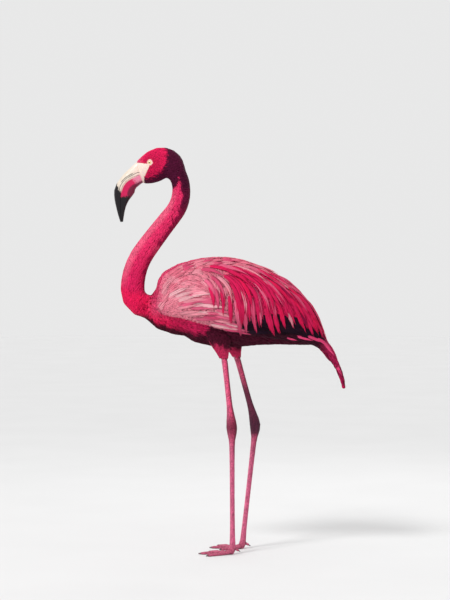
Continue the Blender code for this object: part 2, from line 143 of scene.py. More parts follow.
def new_object(name, data):
    """An object in the scene that holds data."""
    obj = bpy.data.objects.new(name, data)
    bpy.context.scene.collection.objects.link(obj)
    return obj


def get_points(mesh):
    co = np.empty(len(mesh.vertices) * 3)
    mesh.vertices.foreach_get("co", co)
    return co.reshape(-1, 3)


def set_points(mesh, co):
    mesh.vertices.foreach_set("co", np.asarray(co, np.float32).ravel())
    mesh.update()


def get_normals(mesh):
    normal = np.empty(len(mesh.vertices) * 3)
    mesh.vertices.foreach_get("normal", normal)
    return normal.reshape(-1, 3)


def face_outwards(mesh):
    """Turns the normals of a closed mesh outwards."""
    bm = bmesh.new()
    bm.from_mesh(mesh)
    bmesh.ops.recalc_face_normals(bm, faces=bm.faces[:])
    bm.to_mesh(mesh)
    bm.free()


def put_attribute(mesh, name, kind, values):
    """Keeps one value for each vertex: kind is FLOAT, FLOAT_VECTOR or FLOAT_COLOR."""
    layer = mesh.attributes.new(name, kind, "POINT")
    field = {"FLOAT": "value", "FLOAT_VECTOR": "vector", "FLOAT_COLOR": "color"}[kind]
    if kind == "FLOAT_COLOR":
        values = np.column_stack([values, np.ones(len(values))])
    layer.data.foreach_set(field, np.asarray(values, np.float32).ravel())


def finish_piece(obj, nodes, material, tint=None):
    """Shades a piece, gives it its finish and its tint, hangs it under the root and hides the CAD nodes it
    stands for.
    """
    if tint is not None:
        put_attribute(obj.data, "tint", "FLOAT_COLOR", tint)
    obj.data.materials.clear()
    obj.data.materials.append(material)
    obj.data.shade_smooth()
    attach(obj, "root")
    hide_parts(*nodes)
    return obj


def merged_copies(name, nodes, swell):
    """Copies of CAD nodes in one mesh, each with its doubles merged and swollen so thin cuts close."""
    joined = bmesh.new()
    for node in nodes:
        part = bmesh.new()
        part.from_mesh(NODES[node].data)
        bmesh.ops.remove_doubles(part, verts=part.verts[:], dist=1e-6)
        part.normal_update()
        for vert in part.verts:
            vert.co += vert.normal * swell
        mesh = bpy.data.meshes.new(node)
        part.to_mesh(mesh)
        part.free()
        joined.from_mesh(mesh)
        bpy.data.meshes.remove(mesh)
    mesh = bpy.data.meshes.new(name)
    joined.to_mesh(mesh)
    joined.free()
    return new_object(name, mesh)


def fuse(obj, voxel, smoothing):
    """Turns overlapping closed shapes into one even, closed mesh."""
    remesh = obj.modifiers.new("fuse", "REMESH")
    remesh.mode = "VOXEL"
    remesh.voxel_size = voxel
    smooth = obj.modifiers.new("ease", "SMOOTH")
    smooth.factor = 0.5
    smooth.iterations = smoothing
    apply_all(obj)
    keep_largest(obj)
    return obj


def keep_largest(obj):
    """Drops the small closed pockets that fusing leaves inside."""
    bm = bmesh.new()
    bm.from_mesh(obj.data)
    seen, islands = set(), []
    for start in bm.verts:
        if start.index in seen:
            continue
        island, front = [], [start]
        seen.add(start.index)
        while front:
            vert = front.pop()
            island.append(vert)
            for edge in vert.link_edges:
                other = edge.other_vert(vert)
                if other.index not in seen:
                    seen.add(other.index)
                    front.append(other)
        islands.append(island)
    islands.sort(key=len)
    for island in islands[:-1]:
        bmesh.ops.delete(bm, geom=island, context="VERTS")
    bm.to_mesh(obj.data)
    bm.free()


# ---------------- forms and what is measured on them
class Form:
    """A closed mesh as arrays, with its nearest-point search and values kept at its vertices."""

    def __init__(self, obj):
        mesh = obj.data
        mesh.calc_loop_triangles()
        self.co = get_points(mesh)
        self.normal = get_normals(mesh)
        self.tris = np.empty(len(mesh.loop_triangles) * 3, int)
        mesh.loop_triangles.foreach_get("vertices", self.tris)
        self.tris = self.tris.reshape(-1, 3)
        count = len(self.co)
        edges = np.concatenate([self.tris[:, [0, 1]], self.tris[:, [1, 2]], self.tris[:, [2, 0]]])
        edges = np.unique(np.sort(edges, axis=1), axis=0)
        self.edges = np.concatenate([edges, edges[:, ::-1]])
        self.edges = self.edges[np.argsort(self.edges[:, 0], kind="stable")]
        self.starts = np.searchsorted(self.edges[:, 0], np.arange(count))
        self.degree = np.bincount(self.edges[:, 0], minlength=count)
        self.tree = BVHTree.FromPolygons(self.co.tolist(), self.tris.tolist())

    def spread(self, values, times):
        """Evens values out along the surface."""
        values = np.asarray(values, float)
        flat = values.reshape(len(values), -1)
        for _ in range(times):
            total = np.add.reduceat(flat[self.edges[:, 1]], self.starts, axis=0)
            flat = 0.5 * flat + 0.5 * total / self.degree[:, None]
        return flat.reshape(values.shape)

    def snap(self, points):
        """The nearest places on the surface: their triangles, the corners' weights, and positions."""
        tri = np.empty(len(points), int)
        place = np.empty((len(points), 3))
        find = self.tree.find_nearest
        for i, point in enumerate(points.tolist()):
            found = find(point)
            tri[i] = found[2]
            place[i] = found[0]
        a, b, c = (self.co[self.tris[tri, k]] for k in range(3))
        ab, ac, ap = b - a, c - a, place - a
        d00, d01, d11 = (ab * ab).sum(1), (ab * ac).sum(1), (ac * ac).sum(1)
        d20, d21 = (ap * ab).sum(1), (ap * ac).sum(1)
        det = np.maximum(d00 * d11 - d01 * d01, 1e-20)
        v = (d11 * d20 - d01 * d21) / det
        w = (d00 * d21 - d01 * d20) / det
        return tri, np.column_stack([1 - v - w, v, w]), place

    def read(self, values, tri, weights):
        """Values kept at the vertices, read at places on the surface."""
        corners = values[self.tris[tri]]
        if corners.ndim == 2:
            return (corners * weights).sum(1)
        return (corners * weights[:, :, None]).sum(1)

    def scatter(self, allowed, spacing, rng):
        """Evenly spread places where allowed (0 to 1 at each vertex): one for each small cube of space."""
        a, b, c = (self.co[self.tris[:, k]] for k in range(3))
        area = np.linalg.norm(np.cross(b - a, c - a), axis=1) / 2
        area = area * (allowed[self.tris].mean(1) > 0.5)
        wanted = int(area.sum() / spacing**2 * 9) + 20
        tri = rng.choice(len(area), wanted, p=area / area.sum())
        u, v = rng.random((2, wanted))
        over = u + v > 1
        u[over], v[over] = 1 - u[over], 1 - v[over]
        weights = np.column_stack([1 - u - v, u, v])
        place = (self.co[self.tris[tri]] * weights[:, :, None]).sum(1)
        cells = np.floor(place / spacing).astype(int)
        _, first = np.unique(cells, axis=0, return_index=True)
        first = rng.permutation(first)
        return tri[first], weights[first], place[first]


def nearest_node(form, nodes):
    """The CAD node that each vertex of the form belongs to, as an index into nodes."""
    points, tris, owner = [], [], []
    for index, node in enumerate(nodes):
        mesh = NODES[node].data
        mesh.calc_loop_triangles()
        first = len(points)
        points += [tuple(v.co) for v in mesh.vertices]
        tris += [[first + k for k in t.vertices] for t in mesh.loop_triangles]
        owner += [index] * len(mesh.loop_triangles)
    tree = BVHTree.FromPolygons(points, tris)
    return np.array([owner[tree.find_nearest(p)[2]] for p in form.co.tolist()])


def travel(form, seeds):
    """How far each vertex is from the seeds, along the surface."""
    length = np.linalg.norm(form.co[form.edges[:, 0]] - form.co[form.edges[:, 1]], axis=1).tolist()
    other = form.edges[:, 1].tolist()
    starts = form.starts.tolist() + [len(other)]
    far = [math.inf] * len(form.co)
    queue = [(0.0, int(v)) for v in seeds]
    for _, v in queue:
        far[v] = 0.0
    heapq.heapify(queue)
    while queue:
        reach, v = heapq.heappop(queue)
        if reach > far[v]:
            continue
        for k in range(starts[v], starts[v + 1]):
            new = reach + length[k]
            if new < far[other[k]]:
                far[other[k]] = new
                heapq.heappush(queue, (new, other[k]))
    return np.array(far)


def slope(form, values):
    """The direction over the surface in which values grow, at each vertex."""
    a, b, c = (form.co[form.tris[:, k]] for k in range(3))
    va, vb, vc = (values[form.tris[:, k]] for k in range(3))
    normal = np.cross(b - a, c - a)
    area = (normal ** 2).sum(1, keepdims=True)
    grad = np.cross(normal, (c - b)) * va[:, None] + np.cross(normal, (a - c)) * vb[:, None]
    grad = (grad + np.cross(normal, (b - a)) * vc[:, None]) / np.maximum(area, 1e-20)
    weighted = grad * np.sqrt(area)
    total = np.zeros_like(form.co)
    for k in range(3):
        for axis in range(3):
            total[:, axis] += np.bincount(form.tris[:, k], weighted[:, axis], len(form.co))
    return total


def wall_thickness(form):
    """How thick the form is under each vertex, straight in from the surface."""
    found = []
    for point, normal in zip(form.co, form.normal):
        hit = form.tree.ray_cast(Vector(point - normal * 0.2 * MM), Vector(-normal))
        found.append(hit[3] if hit[3] else 0.2)
    return np.array(found)


# ---------------- the bird's own measures
BILL_LOW, BILL_HIGH = (np.array(corner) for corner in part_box("bill_upper"))
WING_LOW, WING_HIGH = (np.array(corner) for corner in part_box("wing_left"))
EYE_LOW, EYE_HIGH = (np.array(corner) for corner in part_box("eye_left"))
EYE_RADIUS = (EYE_HIGH[1] - EYE_LOW[1]) / 2
EYES = {sign: (EYE_LOW + EYE_HIGH) / 2 * (sign, 1, 1) for _, sign in SIDES}
RING_RADIUS = EYE_RADIUS * 1.28         # bare ring round the eye
NODE_STEP = 8 * MM                      # spacing of the points of the bird's own middle line


class Bird:
    """The outer form of head, neck, body and thighs, and what every feather needs to know on it."""

    def __init__(self):
        obj = merged_copies("body_form", BODY_NODES + EYE_NODES, 0.5 * MM)
        fuse(obj, 2.6 * MM, 10)
        self.obj = obj
        self.form = form = Form(obj)
        self.part = nearest_node(form, BODY_NODES)
        bill_base = np.array((0, BILL_HIGH[1] - 4 * MM, BILL_HIGH[2] - 20 * MM))
        seeds = np.argsort(np.linalg.norm(form.co - bill_base, axis=1))[:40]
        self.along = form.spread(travel(form, seeds), 8)
        self.flow = unit(form.spread(unit(slope(form, self.along)), 6))
        self.wing = form.spread(self.on(*WING_NODES), 5)
        self.thigh = form.spread(self.on(*THIGH_NODES), 3)
        self.tail_start = np.percentile(self.along[self.on("tail") > 0], 4)
        self.find_middle()
        self.turn, self.signed_turn = self.turns(form.co, self.along)
        self.depth = self.coat_depth()

    def on(self, *nodes):
        """1 on the named nodes' share of the form, 0 elsewhere."""
        wanted = [BODY_NODES.index(node) for node in nodes]
        return np.isin(self.part, wanted).astype(float)

    def find_middle(self):
        """The line through the middle of the bird from bill to tail, from rings of equal travel."""
        count = int(self.along.max() / NODE_STEP) + 1
        ring = np.minimum((self.along / NODE_STEP).astype(int), count - 1)
        kept = self.on(*THIGH_NODES) == 0
        number = np.maximum(np.bincount(ring[kept], minlength=count), 1)
        middle = np.column_stack([
            np.bincount(ring[kept], self.form.co[kept, axis], count) / number for axis in (1, 2)
        ])
        for _ in range(6):
            middle[1:-1] = (middle[:-2] + 2 * middle[1:-1] + middle[2:]) / 4
        self.middle_at = (np.arange(count) + 0.5) * NODE_STEP
        self.middle = middle
        self.middle_way = unit(np.gradient(middle, axis=0))

    def turns(self, points, along):
        """How far round from the back each point is, in radians, plain and signed by side."""
        y, z = (np.interp(along, self.middle_at, self.middle[:, k]) for k in (0, 1))
        way_y, way_z = (np.interp(along, self.middle_at, self.middle_way[:, k]) for k in (0, 1))
        upward = (points[:, 1] - y) * -way_z + (points[:, 2] - z) * way_y
        signed = np.arctan2(points[:, 0], upward)
        return np.abs(signed), signed

    def coat_depth(self):
        """How deep the skin lies under the feathers' outline, none where the skin is bare."""
        depth = 0.9 * MM + 1.6 * MM * ease(0.09, 0.16, self.along)
        depth += 3.0 * MM * ease(0.42, 0.56, self.along)
        depth += 1.5 * MM * self.wing
        depth = np.where(self.on(*THIGH_NODES) > 0, 2.0 * MM, depth)
        depth = np.minimum(depth, 0.36 * wall_thickness(self.form))
        depth *= 1 - bare_face(self.form.co)
        return self.form.spread(depth, 12)


def eye_way(sign):
    """The way the eye on a side looks: outwards, a little forwards and up."""
    return unit(np.array((sign, -0.35, 0.1)))


def eye_distance(points):
    """Distance to the eye on each point's own side."""
    sides = np.where(points[:, 0] >= 0, 1, -1)
    return np.linalg.norm(points - EYES[1] * np.column_stack([sides, sides * sides, sides * sides]), axis=1)


def bare_face(points):
    """1 on the bare skin: the lores between bill and eye, and the ring round the eye."""
    eye_y, eye_z = EYES[1][1:]
    y, z = points[:, 1], points[:, 2]
    soft = 0.8 * MM
    top = np.interp(y, [eye_y - 33 * MM, eye_y - 7 * MM], [eye_z + 1 * MM, eye_z - 2.5 * MM])
    heights = [eye_z - 44 * MM, eye_z - 35 * MM, eye_z - 8 * MM]
    rear = np.interp(z, heights, [eye_y - 16 * MM, eye_y - 14.5 * MM, eye_y - 2 * MM])
    lores = ease(top + soft, top - soft, z) * ease(rear + soft, rear - soft, y)
    lores = lores * (z > eye_z - 62 * MM)
    ring = ease(RING_RADIUS + 2 * soft, RING_RADIUS, eye_distance(points))
    return np.maximum(lores, ring)


def wing_place(points):
    """Where points are in the wing's box: 0 to 1 from its front to its rear, and from bottom to top."""
    rear = (points[:, 1] - WING_LOW[1]) / (WING_HIGH[1] - WING_LOW[1])
    high = (points[:, 2] - WING_LOW[2]) / (WING_HIGH[2] - WING_LOW[2])
    return rear, high


# ---------------- the lie of the wing
def heading_rows(degrees):
    """Side-view headings above level, rearwards, as directions."""
    angle = np.radians(degrees)
    return np.column_stack([np.zeros_like(angle), np.cos(angle), np.sin(angle)])


def lie_of_dome(points):
    """Coverts of the shoulder rise in front, level off over its dome and sink steeply behind it."""
    rear, high = wing_place(points)
    steep = ease(0.44, 0.66, high)
    return heading_rows((34 + 26 * steep) - (60 + 84 * steep) * ease(-0.04, 0.42, rear))


def lie_of_locks(points):
    """Lower coverts rise from the breast's side, level off and dip, like drawn-back curtains."""
    rear, _ = wing_place(points)
    return heading_rows(34 - 56 * ease(-0.08, 0.52, rear))


def back_line(rear):
    """Height of the back in the wing's box, from front to rear."""
    places = [0.0, 0.15, 0.35, 0.55, 0.75, 0.95, 1.0]
    return np.interp(rear, places, [0.78, 0.93, 0.985, 0.94, 0.80, 0.55, 0.46])


def lock_tips(high):
    """How far back the locks of the lower coverts reach at each height in the wing's box."""
    return np.interp(high, [0.25, 0.36, 0.50, 0.58, 0.70], [0.56, 0.50, 0.42, 0.34, 0.24])


def lie_of_ribbons(points):
    """Scapulars and tertials leave along the back and droop, steeper in front than behind."""
    rear, high = wing_place(points)
    along_back = -12 - 38 * ease(0.2, 1.0, rear)
    hanging = -88 + 32 * ease(0.40, 1.0, rear)
    return heading_rows(along_back + (hanging - along_back) * ease(0.0, 0.42, back_line(rear) - high))


def lie_of_flight(points):
    """Flight feathers lie rearwards under the coverts, and sink towards the tail."""
    rear, _ = wing_place(points)
    return heading_rows(-7 - 26 * ease(0.35, 1.0, rear) - 22 * ease(0.85, 1.05, rear))


def on_surface(direction, normal):
    """Directions turned into the surface."""
    return unit(direction - normal * (direction * normal).sum(1, keepdims=True))


def trace(bird, start, lengths, steps, lie=None, share=1.0, sway=None):
    """Lines of steps from places on the form, each along the lie of the coat there."""
    form = bird.form
    tri, weights, place = start
    lines, normals = [place], [unit(form.read(form.normal, tri, weights))]
    for _ in range(steps):
        normal = normals[-1]
        way = form.read(bird.flow, tri, weights)
        if lie is not None:
            way = way * (1 - share) + lie(place) * share
        way = on_surface(way, normal)
        if sway is not None:
            way = unit(way + np.cross(normal, way) * sway[:, None])
        tri, weights, place = form.snap(place + way * (lengths / steps)[:, None])
        lines.append(place)
        normals.append(unit(form.read(form.normal, tri, weights)))
    return np.stack(lines, 1), np.stack(normals, 1)


# ---------------- a blade, and pieces made of many
def cut_across(places, axis):
    """Cuts the active object square to an axis at each place along it."""
    bpy.ops.object.mode_set(mode="EDIT")
    for place in places:
        bpy.ops.mesh.select_all(action="SELECT")
        bpy.ops.mesh.bisect(plane_co=[place * part for part in axis], plane_no=axis)
    bpy.ops.object.mode_set(mode="OBJECT")


def taken(obj, points):
    """Moves an object's points, keeps it as a shape to be laid, and removes the object."""
    set_points(obj.data, points)
    shape = Shape(obj)
    bpy.data.objects.remove(obj)
    return shape


def make_blade(name, cuts, outline):
    """A slim three-sided blade along +Y, 1 long and 2 wide, cut across and drawn in by its outline."""
    bpy.ops.mesh.primitive_cylinder_add(vertices=3, radius=1, depth=1, location=(0, 0, 0))
    obj = bpy.context.object
    obj.name = name
    cut_across([k / cuts - 0.5 for k in range(1, cuts)], (0, 0, 1))
    co = get_points(obj.data)
    share = co[:, 2] + 0.5
    width = np.interp(share, np.linspace(0, 1, len(outline)), outline)
    points = np.column_stack([co[:, 0] / 0.866 * width, share, (co[:, 1] + 0.5) / 1.5 * width])
    return taken(obj, points)


class Shape:
    """A small modelled shape as arrays, ready to be laid many times."""

    def __init__(self, obj):
        mesh = obj.data
        face_outwards(mesh)
        self.co = get_points(mesh)
        self.loops = np.empty(len(mesh.loops), int)
        mesh.loops.foreach_get("vertex_index", self.loops)
        self.totals = np.empty(len(mesh.polygons), int)
        mesh.polygons.foreach_get("loop_total", self.totals)


class Coat:
    """Gathers laid shapes into one mesh with their tint, vane place and bake map."""

    def __init__(self):
        self.co, self.tint, self.vane, self.bake = [], [], [], []
        self.loops, self.totals = [], []
        self.count = 0

    def add(self, shape, co, tint, vane, root_map):
        """Adds copies of a shape: co is (copies, points, 3), root_map the roots' places on the unwrap."""
        copies, size = co.shape[:2]
        self.co.append(co.reshape(-1, 3))
        self.tint.append(tint.reshape(-1, 3))
        self.vane.append(vane.reshape(-1, 3))
        patch = (shape.co[:, :2] - (0, 0.5)) * BAKE_PATCH
        self.bake.append((root_map[:, None, :] + patch[None]).reshape(-1, 2))
        first = self.count + np.arange(copies)[:, None] * size
        self.loops.append((first + shape.loops[None]).ravel())
        self.totals.append(np.tile(shape.totals, copies))
        self.count += copies * size

    def build(self, name, nodes, slot, material):
        """Makes the gathered shapes one mesh and one piece."""
        loops, totals = np.concatenate(self.loops), np.concatenate(self.totals)
        mesh = bpy.data.meshes.new(name)
        mesh.vertices.add(self.count)
        mesh.vertices.foreach_set("co", np.concatenate(self.co).astype(np.float32).ravel())
        mesh.loops.add(len(loops))
        mesh.loops.foreach_set("vertex_index", loops.astype(np.int32))
        mesh.polygons.add(len(totals))
        starts = np.concatenate([[0], np.cumsum(totals)[:-1]])
        mesh.polygons.foreach_set("loop_start", starts.astype(np.int32))
        mesh.update(calc_edges=True)
        put_attribute(mesh, "tint", "FLOAT_COLOR", np.concatenate(self.tint))
        put_attribute(mesh, "vane", "FLOAT_VECTOR", np.concatenate(self.vane))
        bake = np.concatenate(self.bake)
        layer = mesh.uv_layers.new(name="OFBake")
        layer.data.foreach_set("uv", np.clip(bake, 0, 1)[loops].astype(np.float32).ravel())
        obj = finish_piece(new_object(name, mesh), nodes, material)
        print(f"{name}: {int((totals - 2).sum())} triangles")
        return obj


class Tuft:
    """How one kind of feather is built from blades; base is its height over the coat's outline."""

    def __init__(self, blades, width, blade_width, thick, lift, base=0.0, flare=0.35, ragged=0.08,
                 point=0.22, edge_shade=1.0):
        self.blades, self.width, self.blade_width, self.thick = blades, width, blade_width, thick
        self.lift, self.base, self.flare, self.ragged = lift, base, flare, ragged
        self.point, self.edge_shade = point, edge_shade


def along_lines(lines, share):
    """Points at shares (copies, points) of lines (copies, steps + 1, 3), straight between steps."""
    steps = lines.shape[1] - 1
    place = np.clip(share, 0, 1) * steps
    first = np.minimum(place.astype(int), steps - 1)
    part = (place - first)[..., None]
    row = np.arange(len(lines))[:, None]
    return lines[row, first] * (1 - part) + lines[row, first + 1] * part


def lay(coat, shape, tuft, lines, normals, depth, colours, root_map, rng, tip=None, root_shade=0.72):
    """Lays one tuft of blades on each line. Its root is sunk by depth; tip is a colour for its end."""
    count = len(lines)
    ways = unit(np.gradient(lines, axis=1))
    sides = unit(np.cross(normals, ways))
    tuft_random = rng.random(count)
    for k in range(tuft.blades):
        across = 0.0 if tuft.blades == 1 else 2 * k / (tuft.blades - 1) - 1
        across = across + rng.normal(0, 0.06, count) * (tuft.blades > 1)
        reach = (1 - tuft.point * across**2) * (1 - tuft.ragged * rng.random(count) * 2)
        reach = reach * np.ones(count)
        share = shape.co[None, :, 1] * reach[:, None]
        place = along_lines(lines, share)
        normal = unit(along_lines(normals, share))
        side = unit(along_lines(sides, share))
        spread = tuft.flare + (1 - tuft.flare) * ease(0, 0.55, share)
        offset = (across[:, None] * spread * tuft.width / 2) + shape.co[None, :, 0] * tuft.blade_width / 2
        sunk = depth[:, None] * (1 - ease(0, 0.42, share)) - tuft.base * ease(0, 0.2, share)
        arch = tuft.thick * 0.8 * (1 - np.abs(across[:, None])) * (tuft.blades > 1)
        height = tuft.lift * share - sunk + arch + shape.co[None, :, 2] * tuft.thick
        height = height + (tuft_random[:, None] - 0.5) * tuft.thick * 0.8
        co = place + side * offset[..., None] + normal * height[..., None]
        # Painted shade: each blade darkens towards its root by root_shade, and blades towards one edge of the
        # tuft by edge_shade.
        bright = root_shade + (1 - root_shade) * ease(0.05, 0.6, shape.co[:, 1])
        bright = bright * (1 - (1 - tuft.edge_shade) * np.mean(ease(0.3, 1, across)))
        tint = colours[:, None, :] * bright[None, :, None]
        if tip is not None:
            tint = tint + (tip[:, None, :] - tint) * ease(0.72, 1.0, shape.co[:, 1])[None, :, None]
        tint = tint * (0.93 + 0.14 * rng.random(count))[:, None, None]
        vane = np.empty_like(co)
        vane[..., 0] = across[:, None] + shape.co[None, :, 0] * 0.2
        vane[..., 1] = share
        vane[..., 2] = tuft_random[:, None]
        coat.add(shape, co, tint, vane, root_map)


# ---------------- markings, painted shade and painted highlights, shared by skin and coat
def ripple(points, size, seed):
    """A smooth, seeded unevenness from -1 to 1 with features of about the given size."""
    rng = np.random.default_rng(seed)
    ways = unit(rng.normal(size=(7, 3))) * (2 * math.pi / size) * rng.uniform(0.7, 1.5, (7, 1))
    waves = np.sin(points @ ways.T + rng.uniform(0, 2 * math.pi, 7))
    return np.clip(waves.sum(1) / 3.0, -1, 1)


def head_tint(points):
    """Crimson head, paler at the forehead and wine red under the cheek, with painted shade, nearly black,
    over the back of the head.
    """
    eye_y, eye_z = EYES[1][1:]
    y, z = points[:, 1], points[:, 2]
    far = np.hypot(y - eye_y + 9 * MM, z - eye_z - 14 * MM)
    far = far + 3.5 * MM * ripple(points * (1, 1, 2.2), 9 * MM, 3)
    return layered(points, "crown", (
        ("forehead", 0.8 * ease(eye_y - 14 * MM, eye_y - 32 * MM, y)),
        ("cheek", 0.7 * ease(eye_z - 8 * MM, eye_z - 36 * MM, z)),
        # painted shade: the back of the head darkened nearly to black
        ("nape", 0.95 * ease(49 * MM, 56 * MM, far)),
    ))


def neck_share(points, turn):
    """How far the neck's own colours, painted shade and highlight among them, have taken over from the
    head's: first halfway round the side.
    """
    aside = np.minimum(np.abs(turn - 1.8) / 0.75, 1)
    top = EYES[1][2] - (36 + 30 * aside) * MM + 5 * MM * ripple(points * (2, 1, 0.5), 9 * MM, 4)
    return ease(top + 3 * MM, top - 5 * MM, points[:, 2])


def neck_tint(points, turn):
    """Rose sides, a painted highlight down the front, and painted shade on the back that narrows down the
    neck.
    """
    z = points[:, 2]
    # front: where the painted highlight lies down the front of the neck
    front = ease(1.75, 2.35, turn) * ease(0.94, 0.88, z) * ease(0.66, 0.74, z)
    edge = np.interp(z, [0.64, 0.72, 0.80, 0.88, 0.955], [0.45, 0.62, 0.86, 1.15, 1.6])
    edge = edge + 0.22 * ripple(points * (2, 1, 0.5), 12 * MM, 5)
    # back: painted shade on the back of the neck, nearly black at its top
    back = ease(edge + 0.16, edge - 0.16, turn)
    return layered(points, "neck_side", (
        ("neck_low", ease(0.80, 0.69, z)),
        ("neck_front_highlight", 0.8 * front),
        ("painted_shade_wine", 0.9 * back),
        ("nape", 0.75 * back * ease(0.84, 0.90, z)),
    ))


def trunk_tint(points, turn):
    """Crimson breast and flanks, with painted shade, wine dark to near black, over the underside, widening
    behind the legs.
    """
    y = points[:, 1]
    edge = 2.66 - 1.0 * ease(-0.07, -0.015, y) + 0.08 * ripple(points, 25 * MM, 7)
    below = ease(0.610, 0.592, points[:, 2] + 0.1 * (y + 0.2))
    return layered(points, "breast", (
        ("belly", ease(-0.20, -0.08, y)),
        ("rosy", 0.8 * ease(-0.215, -0.185, y) * ease(0.585, 0.625, points[:, 2])),
        # painted shade: the underside darkened nearly to black, widening behind the legs
        ("underside_shade", 0.92 * ease(edge - 0.14, edge + 0.14, turn) * below),
    ))


def black_edge(rear):
    """How high in the wing's box the dark band begins, from front to rear: black flight feathers, widened by
    painted shade under the wing.
    """
    return np.interp(rear, [0.36, 0.44, 0.62, 0.84, 1.0], [0.30, 0.42, 0.44, 0.37, 0.25])


def wing_tint(points, turn):
    """Pale shoulder dome and locks, a rosy mantle, crimson behind, and black flight feathers below, whose
    band is widened by painted shade under the wing.
    """
    rear, high = wing_place(points)
    dome = np.hypot((rear - 0.20) / 0.22, (high - 0.68) / 0.32)
    locks = np.hypot((rear - 0.20) / 0.34, (high - 0.42) / 0.24)
    # black: the flight feathers' black, over a band that is partly painted shade under the wing
    black = ease(0.02, -0.03, high - black_edge(rear)) * ease(0.34, 0.40, rear)
    return layered(points, "crimson", (
        ("rosy", ease(1.25, 0.9, locks)),
        ("pale", 0.75 * ease(1.0, 0.5, locks)),
        ("shoulder", ease(1.15, 0.85, dome)),
        ("rosy", 0.8 * ease(0.09, -0.02, rear)),
        ("mantle", ease(0.62, 0.30, turn)),
        ("flight", 0.96 * black),
        ("breast", 0.8 * ease(0.30, 0.18, high) * ease(0.42, 0.36, rear)),
    ))


def tail_tint(points, turn):
    """Carmine tail, darker below and between its plumes as painted shade."""
    return layered(points, "tail", (
        # painted shade on the tail's underside
        ("tail_shade", 0.7 * ease(1.7, 2.4, turn)),
    ))


def thigh_tint(points):
    """Pink down, with painted shade, near black, at its top under the belly, reaching lower behind."""
    y, z = points[:, 1], points[:, 2]
    uneven = 6 * MM * ripple(points * (1, 1, 0.4), 12 * MM, 8)
    return layered(points, "thigh", (
        # painted shade at the top of the thigh, under the belly
        ("underside_shade", 0.9 * ease(0.514, 0.530, z + 0.25 * (y + 0.01) + uneven)),
    ))


def plumage(bird, tri, weights, points):
    """The plumage's colour at places on the bird's form."""
    read = bird.form.read
    along, turn = read(bird.along, tri, weights), read(bird.turn, tri, weights)
    wing, thigh = read(bird.wing, tri, weights), read(bird.thigh, tri, weights)
    colours = head_tint(points)
    colours = blended(colours, neck_tint(points, turn), neck_share(points, turn))
    trunk = ease(0.665, 0.64, points[:, 2] + 0.25 * (points[:, 1] + 0.2)) * (points[:, 2] < 0.72)
    trunk = np.maximum(trunk, ease(-0.21, -0.17, points[:, 1]) * (points[:, 2] < 0.78))
    colours = blended(colours, trunk_tint(points, turn), trunk)
    colours = blended(colours, wing_tint(points, turn), ease(0.35, 0.65, wing))
    tail = ease(bird.tail_start, bird.tail_start + 0.05, along)
    colours = blended(colours, tail_tint(points, turn), tail)
    return blended(colours, thigh_tint(points), ease(0.4, 0.8, thigh))


# ---------------- feather groups
def unwrap(bird, tri, weights):
    """Places of roots on an unwrap of the skin: round the bird, and along it."""
    read = bird.form.read
    sine, cosine = (read(part(bird.signed_turn), tri, weights) for part in (np.sin, np.cos))
    turn = np.arctan2(sine, cosine)
    along = read(bird.along, tri, weights)
    return np.column_stack([0.5 + turn / (2 * math.pi), along / bird.along.max()]) * 0.98 + 0.01


def cover(bird, name, nodes, slot, material, allowed, spacing, tuft, length, seed, blade, **more):
    """Covers a region of the bird with tufts and makes a piece of them."""
    rng = np.random.default_rng(seed)
    coat = Coat()
    add_cover(bird, coat, allowed, spacing, tuft, length, rng, blade, **more)
    return coat.build(name, nodes, slot, material)


def add_cover(bird, coat, allowed, spacing, tuft, length, rng, blade, lie=None, share=1.0, steps=3,
              sway=0.12, vary=0.10, root_shade=0.85):
    """Lays tufts at a spacing wherever they are allowed. Length is for each vertex of the form."""
    tri, weights, place = bird.form.scatter(allowed, spacing, rng)
    read = bird.form.read
    lengths = read(length, tri, weights) * rng.uniform(0.85, 1.15, len(tri))
    bend = rng.normal(0, sway, len(tri))
    lines, normals = trace(bird, (tri, weights, place), lengths, steps, lie, share, bend)
    middle = bird.form.snap(lines[:, lines.shape[1] // 2])
    colours = plumage(bird, *middle) * rng.normal(1, vary, (len(tri), 1)).clip(0.7, 1.3)
    depth = read(bird.depth, tri, weights)
    lay(coat, blade, tuft, lines, normals, depth, colours, unwrap(bird, tri, weights), rng,
        root_shade=root_shade)


def full(bird, value):
    """The same value at every vertex of the form."""
    return np.full(len(bird.form.co), float(value))


def feather_head(bird, material, blade):
    """Short, single blades, smallest round the eye and at the bill."""
    co = bird.form.co
    near = np.minimum(eye_distance(co) - RING_RADIUS, bird.along * 0.6)
    length = (2.8 + 7.2 * ease(0, 32 * MM, near)) * MM
    before_eye = (co[:, 1] < EYES[1][1]) * (near < 2.6 * MM)
    allowed = (bird.on("head") > 0) * (bare_face(co) < 0.45) * (1 - before_eye)
    tuft = Tuft(1, 0, 1.9 * MM, 0.4 * MM, 0.3 * MM)
    cover(bird, "head_feathers", ["head"], "plumage", material, allowed, 1.95 * MM, tuft, length, 11, blade,
          vary=0.09)


def feather_neck(bird, material, blade):
    """Slim blades, a little longer down the neck, that lie close like velvet."""
    tuft = Tuft(1, 0, 3.1 * MM, 0.4 * MM, 0.2 * MM)
    length = (12 + 7 * ease(0.12, 0.45, bird.along)) * MM
    for name, nodes, spacing, seed in (
        ("neck_feathers_upper", ["neck_upper", "neck_middle"], 2.65 * MM, 21),
        ("neck_feathers_lower", ["neck_lower"], 2.9 * MM, 22),
    ):
        cover(bird, name, nodes, "plumage", material, bird.on(*nodes), spacing, tuft, length, seed, blade,
              vary=0.08, root_shade=0.95)


